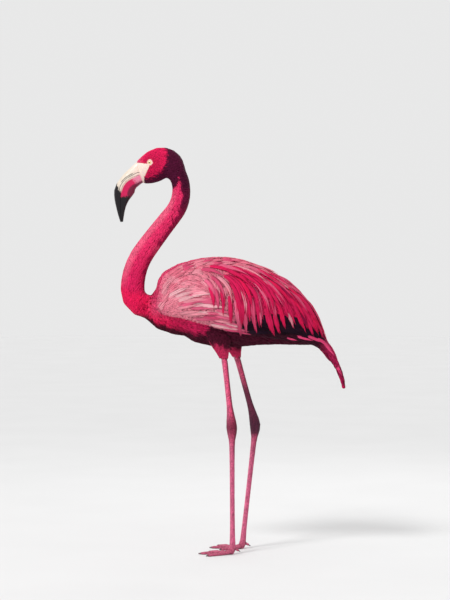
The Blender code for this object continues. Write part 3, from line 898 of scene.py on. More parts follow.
def feather_trunk(bird, material, blade):
    """Soft tufts of the breast, belly and rump."""
    before_wing = wing_place(bird.form.co)[0] < 0.09
    body = (bird.on("trunk") * (bird.wing < 0.55) > 0) | (before_wing & (bird.wing > 0.3))
    tuft = Tuft(3, 6.5 * MM, 3.4 * MM, 0.7 * MM, 0.8 * MM)
    length = (15 + 11 * ease(0.46, 0.62, bird.along)) * MM
    front = bird.form.co[:, 1] < -0.10
    for name, allowed, spacing, seed in (
        ("breast_feathers", front, 5.0 * MM, 31),
        ("belly_feathers", ~front, 5.6 * MM, 32),
    ):
        cover(bird, name, ["trunk"], "plumage", material, (body & allowed).astype(float), spacing, tuft,
              length, seed, blade, vary=0.12)


def feather_thighs(bird, material, blade):
    """Down of the thighs, which ends raggedly above the bare shank."""
    tuft = Tuft(3, 4.5 * MM, 2.4 * MM, 0.5 * MM, 0.4 * MM, flare=0.5, ragged=0.2)
    for side, sign in SIDES:
        allowed = bird.on(f"thigh_{side}") * (bird.form.co[:, 2] > THIGH_HEM)
        cover(bird, f"thigh_feathers_{side}", [f"thigh_{side}"], "plumage", material, allowed, 3.8 * MM,
              tuft, full(bird, 12 * MM), 41 + sign, blade, lie=lie_of_thigh, vary=0.1)


def lie_of_thigh(points):
    """Straight down the leg."""
    return np.tile((0.0, 0.05, -1.0), (len(points), 1))


def lie_of_wing(points):
    """The lie of the small coverts: dome, locks and ribbons blended by their places."""
    rear, high = wing_place(points)
    dome = ease(1.35, 0.9, np.hypot((rear - 0.18) / 0.24, (high - 0.70) / 0.30))
    low = ease(0.64, 0.54, high) * ease(0.04, -0.04, rear - lock_tips(high))
    behind = lie_of_ribbons(points)
    flight = ease(0.02, -0.04, high - black_edge(rear)) * ease(0.34, 0.44, rear)
    way = blended(behind, lie_of_locks(points), low)
    way = blended(way, lie_of_dome(points), dome * (1 - low))
    return blended(way, lie_of_flight(points), flight)


def feather_wings(bird, material, blade):
    """Coverts over each wing, larger towards the rear."""
    rear, _ = wing_place(bird.form.co)
    tuft = Tuft(4, 10 * MM, 3.9 * MM, 0.6 * MM, 0.8 * MM, base=0.2 * MM, point=0.35)
    length = (20 + 18 * ease(0.25, 0.8, rear)) * MM
    for side, sign in SIDES:
        allowed = (bird.wing > 0.45) * (bird.form.co[:, 0] * sign > 0)
        cover(bird, f"wing_coverts_{side}", [f"wing_{side}"], "plumage_pale", material, allowed, 7.6 * MM,
              tuft, length, 51 + sign, blade, lie=lie_of_wing, share=0.92, steps=4, vary=0.07)


# ---------------- long feathers of the wing
def wing_start(bird, side, rear, high):
    """Places on the form's side at shares of the wing's box, found straight in from the side."""
    size = WING_HIGH - WING_LOW
    out = np.column_stack([
        np.full(len(rear), side * 0.2),
        WING_LOW[1] + size[1] * rear,
        WING_LOW[2] + size[2] * high,
    ])
    places = []
    for point in out:
        hit = bird.form.tree.ray_cast(Vector(point), Vector((-side, 0, 0)))
        places.append(hit[0] if hit[0] else Vector(point) * 0.5)
    return bird.form.snap(np.array(places))


class Bed:
    """One side of the bird's wings, and the coat that its long feathers are laid into."""

    def __init__(self, bird, sign, blade, seed):
        self.bird, self.sign, self.blade = bird, sign, blade
        self.coat = Coat()
        self.rng = np.random.default_rng(seed)

    def lay(self, lie, steps, rear, high, lengths, tuft, colours, tips, sway=0.03):
        """Long feathers from given places on the wing, each of several blades side by side."""
        bird, read = self.bird, self.bird.form.read
        start = wing_start(bird, self.sign, rear, high)
        bend = self.rng.normal(0, sway, len(rear))
        lines, normals = trace(bird, start, lengths, steps, lie, 1.0, bend)
        kept = (read(bird.wing, *start[:2]) > 0.3) & (lengths > 12 * MM)
        for step in (0, steps // 2, steps):
            tri, weights, _ = bird.form.snap(lines[:, step])
            kept &= read(bird.thigh, tri, weights) < 0.25
        tri, weights = start[0][kept], start[1][kept]
        depth = np.minimum(read(bird.depth, tri, weights), 4 * MM)
        lay(self.coat, self.blade, tuft, lines[kept], normals[kept], depth, colours[kept],
            unwrap(bird, tri, weights), self.rng, tip=tips[kept], root_shade=0.8)


def pick_tints(names, weights, count, rng):
    """So many tints, drawn from named ones by their weights."""
    chosen = rng.choice(len(names), count, p=weights)
    return np.array([TINT[name] for name in names])[chosen]


def lay_locks(bed):
    """Long locks of the lower coverts, convex upwards; each row starts and ends farther back than the one
    above it, and the upper rows are the palest, with most of the painted highlight."""
    rng = bed.rng
    rows = 8
    for row in range(rows):
        low = 1 - row / (rows - 1)
        count = 8
        high = 0.26 + 0.33 * (1 - low) + 0.05 * np.linspace(0, 1, count) + rng.uniform(-0.016, 0.016, count)
        last = lock_tips(high) - 0.12
        rear = 0.03 + 0.13 * low + (last - 0.03 - 0.13 * low) * np.linspace(0, 1, count)
        rear = rear + rng.uniform(-0.015, 0.015, count)
        tuft = Tuft(6, 11 * MM, 3.3 * MM, 0.8 * MM, 1.2 * MM, base=(0.7 + 0.8 * (1 - low)) * MM, point=0.6,
                    flare=0.35, edge_shade=0.45)
        reach = (lock_tips(high) - rear) * (WING_HIGH[1] - WING_LOW[1]) * 1.06
        lengths = np.minimum(rng.uniform(68, 100, count) * MM, reach)
        # The highlight tint, most in the upper rows, is a painted highlight.
        pale = np.array((0.42, 0.28, 0.24, 0.06)) * (1 - low) + np.array((0.1, 0.2, 0.42, 0.28)) * low
        colours = pick_tints(["highlight", "pale", "lock", "rosy"], pale, count, rng)
        bed.lay(lie_of_locks, 8, rear, high, lengths, tuft, colours, colours * 0.95)


def lay_dome(bed):
    """Silky coverts that sweep up over the shoulder and down behind it, the upper over the lower."""
    rng = bed.rng
    for ring in range(6):
        radius = 0.25 + 0.15 * ring
        count = 8 + 2 * ring
        angle = np.linspace(-0.35, 2.6, count) + rng.uniform(-0.05, 0.05, count)
        rear = 0.19 - np.cos(angle) * radius * 0.20
        high = 0.60 + np.sin(angle) * radius * 0.30
        tuft = Tuft(6, 14 * MM, 3.4 * MM, 0.6 * MM, 0.7 * MM, base=(0.4 + 0.25 * ring) * MM, point=0.3,
                    flare=0.6, edge_shade=0.85)
        lengths = rng.uniform(38, 52, count) * MM
        colours = pick_tints(["shoulder", "pale", "mantle"], [0.5, 0.3, 0.2], count, rng)
        bed.lay(lie_of_dome, 6, rear, high, lengths, tuft, colours, colours * 1.04)


def lay_ribbons(bed):
    """Scapulars and tertials: rows of long pointed ribbons that leave the back and droop."""
    rng = bed.rng
    rows = (
        (0.46, 0.90, 0.40, 15, (75, 105), 1.9),
        (0.38, 0.92, 0.29, 18, (90, 120), 2.2),
        (0.27, 0.94, 0.20, 22, (110, 145), 2.5),
        (0.23, 0.95, 0.12, 24, (125, 165), 2.8),
        (0.21, 0.95, 0.05, 24, (115, 165), 3.1),
    )
    for rear_first, rear_last, below, count, (shortest, longest), base in rows:
        share = np.linspace(0, 1, count)
        rear = rear_first + (rear_last - rear_first) * share + rng.uniform(-0.012, 0.012, count)
        high = back_line(rear) - below * (1 - 0.45 * share) + rng.uniform(-0.02, 0.02, count)
        tuft = Tuft(7, 13.5 * MM, 3.7 * MM, 0.9 * MM, 1.4 * MM, base=base * MM, point=0.65, flare=0.3,
                    edge_shade=0.35)
        lengths = rng.uniform(shortest, longest, count) * MM * (1 - 0.3 * share)
        hem = np.interp(rear + 0.05, [0.25, 0.32, 0.40, 0.48, 0.55], [0.62, 0.52, 0.44, 0.30, 0.0])
        lengths = np.minimum(lengths, np.maximum(high - hem, 0) * (WING_HIGH[2] - WING_LOW[2]) * 1.15)
        lengths = np.where(lengths < 40 * MM, 0, lengths)
        front = pick_tints(["crimson", "rosy", "pale", "lock"], [0.52, 0.22, 0.12, 0.14], count, rng)
        # Behind, some ribbons take the painted shade wine: dark gaps among the others.
        behind = pick_tints(["crimson", "rosy", "painted_shade_wine", "breast"], [0.5, 0.1, 0.2, 0.2], count, rng)
        colours = np.where(rng.random(count)[:, None] > share[:, None] * 1.3, front, behind)
        first = pick_tints(["crimson", "lock", "rosy"], [0.35, 0.3, 0.35], count, rng)
        colours = np.where(share[:, None] < 0.08, first, colours)
        darker = 1 - 0.2 * share[:, None]
        tips = pick_tints(["crimson", "breast"], [0.6, 0.4], count, rng)
        tips = np.where(share[:, None] < 0.08, first, tips)
        bed.lay(lie_of_ribbons, 10, rear, high, lengths, tuft, colours * darker, tips * darker)


def lay_mantle(bed):
    """Rosy feathers that run along the back."""
    rng = bed.rng
    for row in range(3):
        count = 16
        rear = np.linspace(0.06, 0.86, count) + rng.uniform(-0.015, 0.015, count)
        high = back_line(rear) - 0.012 - 0.028 * row
        tuft = Tuft(6, 12 * MM, 3.4 * MM, 0.7 * MM, 1.0 * MM, base=(2.6 - 0.3 * row) * MM, point=0.4,
                    flare=0.5, edge_shade=0.75)
        lengths = rng.uniform(48, 70, count) * MM
        colours = pick_tints(["mantle", "shoulder", "rosy"], [0.6, 0.2, 0.2], count, rng)
        bed.lay(lie_of_mantle, 7, rear, high, lengths, tuft, colours, colours)


def lie_of_mantle(points):
    """Along the back, rearwards, with its slope."""
    rear, _ = wing_place(points)
    return heading_rows(24 - 74 * ease(0.0, 1.0, rear))


def feather_wing_rows(bird, material, blade):
    """The long feathers of each wing, group by group."""
    for side, sign in SIDES:
        bed = Bed(bird, sign, blade, 61 + sign)
        for lay_group in (lay_dome, lay_locks, lay_ribbons, lay_mantle):
            lay_group(bed)
        bed.coat.build(f"wing_plumes_{side}", [f"wing_{side}"], "plumage_pale", material)


def feather_flight(bird, material, blade):
    """Folded flight feathers: a black band below the coverts, lying rearwards, partly painted shade under the
    wing.
    """
    for side, sign in SIDES:
        bed = Bed(bird, sign, blade, 71 + sign)
        rng = bed.rng
        for row in range(3):
            count = 10
            rear = np.linspace(0.34, 0.80, count) + rng.uniform(-0.01, 0.01, count)
            high = black_edge(rear) + 0.03 - 0.055 * row
            tuft = Tuft(9, 17 * MM, 3.0 * MM, 0.8 * MM, 1.0 * MM, base=(0.6 - 0.3 * row) * MM, point=0.35,
                        flare=0.55, ragged=0.02)
            lengths = rng.uniform(95, 125, count) * MM * np.linspace(1.1, 0.75, count)
            # black flight feathers, laid over a band that also stands for the shade under the wing
            colours = plain("flight", rear) * rng.uniform(0.8, 1.6, (count, 1))
            bed.lay(lie_of_flight, 9, rear, high, lengths, tuft, colours, colours, sway=0.01)
        lay_undertail(bed)
        bed.coat.build(f"flight_feathers_{side}", [f"wing_{side}"], "plumage_dark", material)


def lay_undertail(bed):
    """Pink coverts that show as a streak between the black feathers and the tail."""
    rng = bed.rng
    rear = np.array([0.62, 0.70, 0.75, 0.80, 0.85, 0.90])
    high = np.array([0.20, 0.24, 0.26, 0.27, 0.25, 0.22])
    tuft = Tuft(6, 9 * MM, 3.0 * MM, 0.8 * MM, 1.2 * MM, base=1.8 * MM, point=0.6, flare=0.3, edge_shade=0.5)
    lengths = np.array([28, 42, 60, 70, 75, 75]) * MM
    colours = pick_tints(["rear_pink", "breast"], [0.6, 0.4], len(rear), rng)
    bed.lay(lie_of_flight, 7, rear, high, lengths, tuft, colours, colours, sway=0.01)


def feather_tail(bird, material, blade, small_blade):
    """Tail plumes over smaller tail feathers."""
    rng = np.random.default_rng(81)
    coat = Coat()
    allowed = bird.on("tail") * (bird.wing < 0.6)
    tuft = Tuft(3, 7 * MM, 2.8 * MM, 0.6 * MM, 0.8 * MM, point=0.4)
    add_cover(bird, coat, allowed, 4.6 * MM, tuft, full(bird, 30 * MM), rng, small_blade, steps=4, vary=0.15)
    tri, weights, place = bird.form.scatter(allowed, 11 * MM, rng)
    plume = Tuft(6, 8 * MM, 2.2 * MM, 0.7 * MM, 1.2 * MM, base=0.8 * MM, point=0.5, flare=0.4, edge_shade=0.6)
    lengths = rng.uniform(45, 80, len(tri)) * MM
    left = bird.along.max() - bird.form.read(bird.along, tri, weights)
    lengths = np.minimum(lengths, left + 6 * MM)
    lines, normals = trace(bird, (tri, weights, place), lengths, 7, sway=rng.normal(0, 0.02, len(tri)))
    # Some plumes take the tail's painted shade tint.
    colours = pick_tints(["rear_pink", "tail", "tail_shade", "crimson"], [0.3, 0.3, 0.15, 0.25], len(tri), rng)
    depth = bird.form.read(bird.depth, tri, weights)
    lay(coat, blade, plume, lines, normals, depth, colours, unwrap(bird, tri, weights), rng)
    coat.build("tail_feathers", ["tail"], "plumage_dark", material)


# ---------------- finishes
class Finish:
    """A material with its nodes."""

    def __init__(self, name, roughness, **sockets):
        self.material = bpy.data.materials.new(name)
        self.material.use_nodes = True
        self.tree = self.material.node_tree
        self.shader = self.tree.nodes["Principled BSDF"]
        self.shader.inputs["Roughness"].default_value = roughness
        for socket, value in sockets.items():
            self.shader.inputs[socket.replace("_", " ")].default_value = value

    def add(self, kind, settings=None, links=None):
        """Adds a node; settings are its own properties or, by socket name, its inputs."""
        node = self.tree.nodes.new(kind)
        for key, value in (settings or {}).items():
            if isinstance(key, int) or key in node.inputs:
                node.inputs[key].default_value = value
            else:
                setattr(node, key, value)
        for key, source in (links or {}).items():
            self.tree.links.new(source, node.inputs[key])
        return node

    def noise(self, scale, detail, vector):
        """Soft noise from 0 to 1, with a grain of 1 / scale."""
        node = self.add("ShaderNodeTexNoise", {"Scale": scale, "Detail": detail}, {"Vector": vector})
        return node.outputs["Fac"]

    def link(self, source, socket):
        self.tree.links.new(source, self.shader.inputs[socket])


def object_place(finish):
    """Places in the piece's own space, in metres."""
    return finish.add("ShaderNodeTexCoord").outputs["Object"]


def tint_of(finish):
    """The marking kept at the piece's vertices."""
    return finish.add("ShaderNodeAttribute", {"attribute_name": "tint"}).outputs["Color"]


def varied(finish, colour, factor, low, high):
    """A colour made darker and lighter between low and high by a factor from 0 to 1."""
    strength = finish.add("ShaderNodeMapRange", {"To Min": low, "To Max": high}, {"Value": factor})
    mix = finish.add("ShaderNodeVectorMath", {"operation": "SCALE"},
                     {0: colour, "Scale": strength.outputs["Result"]})
    return mix.outputs["Vector"]


def bumped(finish, height, strength, distance):
    """Fine relief that is too small to model."""
    bump = finish.add("ShaderNodeBump", {"Strength": strength, "Distance": distance}, {"Height": height})
    finish.link(bump.outputs["Normal"], "Normal")


def make_feather():
    """Feather keratin: matt, with a faint sheen, streaked along its barbs."""
    finish = Finish("feather_keratin", 0.62, Specular_IOR_Level=0.08)
    vane = finish.add("ShaderNodeAttribute", {"attribute_name": "vane"}).outputs["Vector"]
    # Barbs lie close along the vane: about 0.4 mm apart, here near 0.8 mm so that they show.
    stretched = finish.add("ShaderNodeMapping", {"Scale": (7.0, 1.3, 40.0)}, {"Vector": vane})
    streak = finish.noise(1.0, 2.0, stretched.outputs[0])
    # Soft patches a few centimetres wide, where feathers have faded unevenly.
    patch = finish.noise(45.0, 2.0, object_place(finish))
    colour = varied(finish, tint_of(finish), streak, 0.62, 1.38)
    colour = varied(finish, colour, patch, 0.84, 1.16)
    finish.link(colour, "Base Color")
    bumped(finish, streak, 0.35, 0.4 * MM)
    return finish.material


def make_skin():
    """Living skin: soft and slightly moist, stippled with feather follicles about 1.6 mm apart."""
    finish = Finish("bird_skin", 0.5, Specular_IOR_Level=0.25, Subsurface_Weight=0.08,
                    Subsurface_Scale=2 * MM)
    place = object_place(finish)
    pores = finish.add("ShaderNodeTexVoronoi", {"Scale": 1 / (1.6 * MM)}, {"Vector": place})
    mottle = finish.noise(180.0, 3.0, place)
    colour = varied(finish, tint_of(finish), mottle, 0.86, 1.14)
    finish.link(colour, "Base Color")
    bumped(finish, pores.outputs["Distance"], 0.3, 0.25 * MM)
    return finish.material


def make_scale():
    """Horny scales of the leg: satin, each a little worn and uneven."""
    finish = Finish("horny_leg_scale", 0.45, Specular_IOR_Level=0.25)
    place = object_place(finish)
    mottle = finish.noise(260.0, 3.0, place)
    fine = finish.noise(1 / (0.7 * MM), 2.0, place)
    colour = varied(finish, tint_of(finish), mottle, 0.72, 1.28)
    finish.link(colour, "Base Color")
    bumped(finish, fine, 0.25, 0.15 * MM)
    return finish.material


def make_horn(name, roughness, grain):
    """Bill or claw horn: hard and smooth with a soft gloss, grown in faint lines."""
    finish = Finish(name, roughness, Specular_IOR_Level=0.3, Coat_Weight=0.06, Coat_Roughness=0.2)
    place = object_place(finish)
    stretched = finish.add("ShaderNodeMapping", {"Scale": (1.0, 0.35, 0.35)}, {"Vector": place})
    lines = finish.noise(1 / grain, 3.0, stretched.outputs[0])
    colour = varied(finish, tint_of(finish), lines, 0.82, 1.18)
    finish.link(colour, "Base Color")
    bumped(finish, lines, 0.15, 0.2 * MM)
    return finish.material


def make_eye_finish():
    """Eye: a wet, clear cornea over the iris, so a sharp highlight."""
    finish = Finish("wet_eye", 0.12, Coat_Weight=1.0, Coat_Roughness=0.02)
    place = object_place(finish)
    fibre = finish.noise(1 / (0.6 * MM), 2.0, place)
    colour = varied(finish, tint_of(finish), fibre, 0.8, 1.2)
    finish.link(colour, "Base Color")
    return finish.material


# ---------------- skin
LID_EDGE = 0.35 * MM    # how far the lids stand proud of the eyeball
LID_OPEN = 5.4 * MM     # radius of the opening between the lids


def skin_body(bird):
    """The feathered body's skin: the outer form shrunk by the coat's depth, fine round the face."""
    obj = new_object("skin", bird.obj.data.copy())
    group = obj.vertex_groups.new(name="body")
    co = get_points(obj.data)
    far = np.flatnonzero(eye_distance(co) > 55 * MM)
    group.add(far.tolist(), 1.0, "REPLACE")
    thin = obj.modifiers.new("thin", "DECIMATE")
    thin.ratio = 0.3
    thin.vertex_group = "body"
    apply_all(obj)
    obj.vertex_groups.clear()
    refine_face(obj.data)
    co = get_points(obj.data)
    tri, weights, _ = bird.form.snap(co)
    depth = bird.form.read(bird.depth, tri, weights)
    normal = unit(bird.form.read(bird.form.normal, tri, weights))
    co = hem_thighs(co - normal * depth[:, None])
    set_points(obj.data, shape_lids(shape_folds(co, normal)))
    return obj


def hem_thighs(co):
    """Draws the lower end of each thigh up behind the tips of its feathers."""
    under = co[:, 2] < THIGH_HEM
    thigh = under & (np.abs(co[:, 1]) < 0.08)
    co[thigh, 2] = THIGH_HEM - 0.12 * (THIGH_HEM - co[thigh, 2])
    return co


def refine_face(mesh):
    """Cuts the faces round the eyes, lores and chin four times finer."""
    for reach in (34 * MM, 17 * MM):
        bm = bmesh.new()
        bm.from_mesh(mesh)
        edges = [e for e in bm.edges if min(
            math.dist(abs_x(v.co), EYES[1] - np.array((0, 0.5, 0.8)) * (reach - 15 * MM)) for v in e.verts
        ) < reach]
        bmesh.ops.subdivide_edges(bm, edges=edges, cuts=1, use_grid_fill=True)
        bmesh.ops.triangulate(bm, faces=bm.faces[:])
        bm.to_mesh(mesh)
        bm.free()


def abs_x(point):
    """A point carried over to the left side."""
    return (abs(point[0]), point[1], point[2])


def shape_folds(co, normal):
    """Fine folds of bare skin that run from the eye towards the gape."""
    eye_y, eye_z = EYES[1][1:]
    across = (co[:, 1] - eye_y) * 0.80 - (co[:, 2] - eye_z) * 0.35
    folds = np.sin(across / (2.1 * MM) * 2 * math.pi) * 0.5 + np.sin(across / (3.7 * MM) * 2 * math.pi) * 0.5
    height = 0.22 * MM * folds * bare_face(co) * ease(RING_RADIUS, RING_RADIUS + 4 * MM, eye_distance(co))
    return co + normal * height[:, None]


def shape_lids(co):
    """Opens the skin over each eye and raises a rim of lid round it."""
    for sign, centre in EYES.items():
        offset = co - centre
        out = eye_way(sign)
        ahead = offset @ out
        aside = np.linalg.norm(offset - ahead[:, None] * out, axis=1)
        near = (aside < 3 * EYE_RADIUS) & (ahead > -EYE_RADIUS)
        way = unit(offset)
        lid = EYE_RADIUS + LID_EDGE
        # Inside the opening the skin goes behind the eyeball; the rim stands proud; then it blends out.
        inside = ease(LID_OPEN, LID_OPEN - 0.7 * MM, aside)
        rim = ease(LID_OPEN + 5.5 * MM, LID_OPEN + 1.5 * MM, aside)
        ridge = 0.45 * MM * np.exp(-((aside - LID_OPEN - 1.0 * MM) / (0.8 * MM)) ** 2)
        groove = 0.35 * MM * np.exp(-((aside - LID_OPEN - 3.2 * MM) / (0.7 * MM)) ** 2)
        radius = np.linalg.norm(offset, axis=1)
        wanted = radius + (np.maximum(radius, lid) - radius) * rim
        wanted = wanted + (ridge - groove) * rim
        wanted = wanted + (EYE_RADIUS - 1.1 * MM - wanted) * inside
        co = np.where(near[:, None], centre + way * wanted[:, None], co)
    return co


def leg_nodes(side):
    """The CAD nodes of one bare leg and its foot."""
    return [f"{node}_{side}" for node in LEG_NODES]


def leg_form(side):
    """The outer form of one bare leg and foot, whose top is carried on up inside the thigh."""
    obj = merged_copies(f"leg_{side}", leg_nodes(side), 0.4 * MM)
    co = get_points(obj.data)
    top = co[:, 2].max()
    end = co[co[:, 2] > top - 5 * MM].mean(0)
    below = co[(co[:, 2] < top - 25 * MM) & (co[:, 2] > top - 70 * MM)].mean(0)
    way = (end - below) / np.linalg.norm(end - below)
    rise = ease(top - 5 * MM, top - 4 * MM, co[:, 2])
    co = co + way * (rise * 18 * MM)[:, None]
    narrow = np.outer(0.3 * rise, (1, 1, 0))
    co = co + (end + way * 16 * MM - co) * narrow
    set_points(obj.data, co)
    fuse(obj, 1.25 * MM, 3)
    co = get_points(obj.data)
    co[:, 2] = np.maximum(co[:, 2], 0.0)
    set_points(obj.data, co)
    return obj


def leg_tint(points, normal):
    """Rose legs with dark ankles, paler before and darker behind as painted light and shade; the right one is
    painted dark with shade from above it.
    """
    z, rear = points[:, 2], normal[:, 1]
    ankle = np.exp(-((z - ANKLE_HEIGHT) / 0.032) ** 2)
    right = (points[:, 0] < 0) * ease(0.455, 0.40, z + 0.01 * rear) * ease(0.285, 0.305, z)
    return layered(points, "leg", (
        ("tarsus", ease(0.33, 0.25, z)),
        # painted highlight on the lit front of the leg
        ("leg_lit_front", 0.6 * ease(0.1, -0.7, rear)),
        ("leg_dark_and_shade", 0.85 * ankle),
        # painted shade down the back of the leg
        ("leg_dark_and_shade", 0.8 * ease(0.25, 0.8, rear) * ease(0.20, 0.30, z)),
        # painted shade on the right leg, below the body
        ("nape", 0.85 * right),
        ("leg_dark_and_shade", 0.25 * ease(0.2, 0.9, ripple(points * (1, 1, 0.35), 14 * MM, 9))),
        ("web", ease(0.03, 0.012, z)),
    ))


def make_skin_piece(bird, legs, material):
    """Joins body and legs into one skin and gives it the coat's colours, darkened as painted shade where it
    shows between feathers and scales.
    """
    obj = skin_body(bird)
    for leg in legs.values():
        union = obj.modifiers.new("join", "BOOLEAN")
        union.operation, union.object, union.solver = "UNION", leg, "MANIFOLD"
        apply_all(obj)
    co = get_points(obj.data)
    tri, weights, place = bird.form.snap(co)
    # The skin takes the coat's colours a fifth darker: painted shade in the gaps between feathers.
    colours = plumage(bird, tri, weights, place) * 0.8
    bare = bare_face(co)
    ring = ease(RING_RADIUS + 0.8 * MM, RING_RADIUS - 0.4 * MM, eye_distance(co))
    colours = mixed(colours, "lores", bare)
    colours = mixed(colours, "eyelid", 0.8 * ring)
    leg = ease(THIGH_HEM - 1 * MM, THIGH_HEM - 3 * MM, co[:, 2]) * (np.abs(co[:, 1]) < 0.12)
    # Under the scales the legs' colours are darker still: painted shade between the scales.
    colours = blended(colours, leg_tint(co, get_normals(obj.data)) * 0.6, leg)
    nodes = [*BODY_NODES] + [node for side, _ in SIDES for node in leg_nodes(side)]
    for layer in list(obj.data.uv_layers):
        obj.data.uv_layers.remove(layer)
    finish_piece(obj, nodes, material, colours)
    print("skin:", sum(len(p.vertices) - 2 for p in obj.data.polygons), "triangles")
    return obj


# ---------------- scales of legs and feet
def make_scale_shape(sides):
    """A low dome with so many sides, about 2 across, modelled from a cone."""
    bpy.ops.mesh.primitive_cone_add(vertices=sides, radius1=1, radius2=0.45, depth=1, location=(0, 0, 0.5))
    obj = bpy.context.object
    obj.name = "scale"
    cut_across([0.5], (0, 0, 1))
    co = get_points(obj.data) + (0, 0, 0.5)
    widen = np.where(np.abs(co[:, 2] - 0.5) < 0.01, 1.22, 1.0)
    co[:, :2] *= widen[:, None]
    return taken(obj, co)


def make_scute_shape():
    """A broad plate with rounded ends, cut across its width so that it can bend round the leg."""
    bpy.ops.mesh.primitive_cube_add(size=2, location=(0, 0, 0))
    obj = bpy.context.object
    obj.name = "scute"
    cut_across((-0.6, -0.2, 0.2, 0.6), (1, 0, 0))
    co = get_points(obj.data)
    top = co[:, 2] > 0
    co[:, 1] *= np.where(top, 0.72, 1.0) * (1 - 0.35 * co[:, 0] ** 2)
    co[:, 0] *= np.where(top, 0.93, 1.0)
    co[:, 2] = top
    return taken(obj, co)


def lay_scales(coat, form, shape, place, length, width, thick, rng):
    """Lays scales down a leg: each point is set on the surface, then raised."""
    root_map = leg_map(form, place)
    tri, weights, place = form.snap(place)
    normal = unit(form.read(form.normal, tri, weights))
    way = on_surface(np.array((0, -0.001, -1)), normal)
    side = np.cross(normal, way)
    flat = (place[:, None] + side[:, None] * (shape.co[None, :, :1] * width[:, None, None] / 2)
            + way[:, None] * (shape.co[None, :, 1:2] * length[:, None, None] / 2))
    spread_tri, spread_weights, held = form.snap(flat.reshape(-1, 3))
    up = unit(form.read(form.normal, spread_tri, spread_weights)).reshape(flat.shape)
    held = held.reshape(flat.shape)
    # A scale over a crease would fold, so none lies where the surface rises round it.
    rise = ((held - flat) @ normal[:, :, None])[..., 0].max(1)
    kept = rise < 0.25 * MM
    place, normal, root_map, held, up = (part[kept] for part in (place, normal, root_map, held, up))
    tilt = 0.25 * shape.co[None, :, 1] + 1
    co = held + up * ((shape.co[None, :, 2] * tilt - 0.35) * thick)[..., None]
    colours = leg_tint(place, normal) * rng.normal(1, 0.1, (len(place), 1)).clip(0.7, 1.3)
    # Painted shade: each scale darker at its base and lighter on its top.
    edge = 0.72 + 0.30 * shape.co[:, 2]
    vane = np.zeros_like(co)
    coat.add(shape, co, colours[:, None] * edge[None, :, None], vane, root_map)


def scale_leg(side, sign, form, material):
    """Broad scutes down the front of the leg, small round scales over the rest, fine ones on the webs."""
    rng = np.random.default_rng(91 + sign)
    coat = Coat()
    small, broad = make_scale_shape(6), make_scute_shape()
    bare = (form.co[:, 2] < 0.492).astype(float)
    scuted = (form.normal[:, 1] < -0.45) & (np.abs(form.co[:, 2] - ANKLE_HEIGHT) > 0.026)
    for allowed, spacing, size in (
        (bare * (form.co[:, 2] > FOOT_TOP) * ~scuted, 3.3 * MM, 4.6 * MM),
        (bare * (form.co[:, 2] <= FOOT_TOP) * (form.normal[:, 2] > -0.5), 3.3 * MM, 4.4 * MM),
    ):
        place = form.scatter(allowed, spacing, rng)[2]
        size = np.full(len(place), size) * rng.uniform(0.9, 1.1, len(place))
        lay_scales(coat, form, small, place, size, size, 0.38 * MM, rng)
    heights = np.arange(0.03, 0.482, 4.6 * MM)
    heights = heights[np.abs(heights - ANKLE_HEIGHT) > 0.024]
    rows = []
    for height in heights:
        near = form.co[np.abs(form.co[:, 2] - height) < 1.5 * MM]
        rows.append((near[:, 0].mean(), near[:, 1].min(), height))
    place = np.array(rows)
    length, width = np.full(len(place), 5.2 * MM), np.full(len(place), 12.5 * MM)
    lay_scales(coat, form, broad, place, length, width, 0.6 * MM, rng)
    coat.build(f"leg_scales_{side}", leg_nodes(side), "leg_skin", material)


def leg_map(form, place):
    """Round the leg and down it, as a place on its own unwrap."""
    aside, rear = (place[:, :2] - form.co[:, :2].mean(0)).T
    turn = np.arctan2(aside, -rear)
    return np.column_stack([0.5 + turn / (2 * math.pi), place[:, 2] / 0.5]) * 0.98 + 0.01


# ---------------- bill
GAPE_POINTS = 120


def bill_forms():
    """Smooth copies of both halves of the bill."""
    forms = {}
    for half in ("upper", "lower"):
        obj = merged_copies(f"{half}_bill", [f"bill_{half}"], 0.0)
        fuse(obj, 0.85 * MM, 4)
        forms[half] = obj
    return forms


def gape_line(forms):
    """Where the halves meet in side view, as evenly spaced points from the face to the tip."""
    upper, lower = Form(forms["upper"]), Form(forms["lower"])
    gap = np.array([lower.tree.find_nearest(Vector(p))[3] for p in upper.co])
    seam = upper.co[gap < gap.min() + 0.9 * MM]
    heights = np.linspace(seam[:, 2].max(), seam[:, 2].min(), 30)
    found = [(seam[np.abs(seam[:, 2] - z) < 3 * MM, 1], z) for z in heights]
    line = np.array([(ys.mean(), z) for ys, z in found if len(ys)])
    for _ in range(3):
        line[1:-1] = (line[:-2] + 2 * line[1:-1] + line[2:]) / 4
    run = np.concatenate([[0], np.cumsum(np.linalg.norm(np.diff(line, axis=0), axis=1))])
    steps = np.linspace(0, run[-1], GAPE_POINTS)
    return np.column_stack([np.interp(steps, run, line[:, k]) for k in (0, 1)])


def bill_relief(half, off, share, side):
    """Heights of the horn's groove, nostril, ridges and lip, and where the groove and nostril are."""
    if half == "lower":
        ridges = np.sin(off / (3.4 * MM) * 2 * math.pi) * ease(0.75, 0.4, share)
        lip = np.exp(-(off / (1.4 * MM)) ** 2)
        return 0.14 * MM * ridges * side + 0.2 * MM * lip, np.zeros(len(off))
    groove = np.exp(-((off - 6.2 * MM) / (0.9 * MM)) ** 2) * side * ease(0.72, 0.5, share)
    slit = np.exp(-((off - 9.5 * MM) / (1.1 * MM)) ** 2) * side
    slit = slit * ease(0.04, 0.1, share) * ease(0.36, 0.28, share)
    lip = np.exp(-(off / (1.6 * MM)) ** 2)
    return -0.6 * MM * groove - 1.0 * MM * slit + 0.15 * MM * lip, np.maximum(groove, slit)


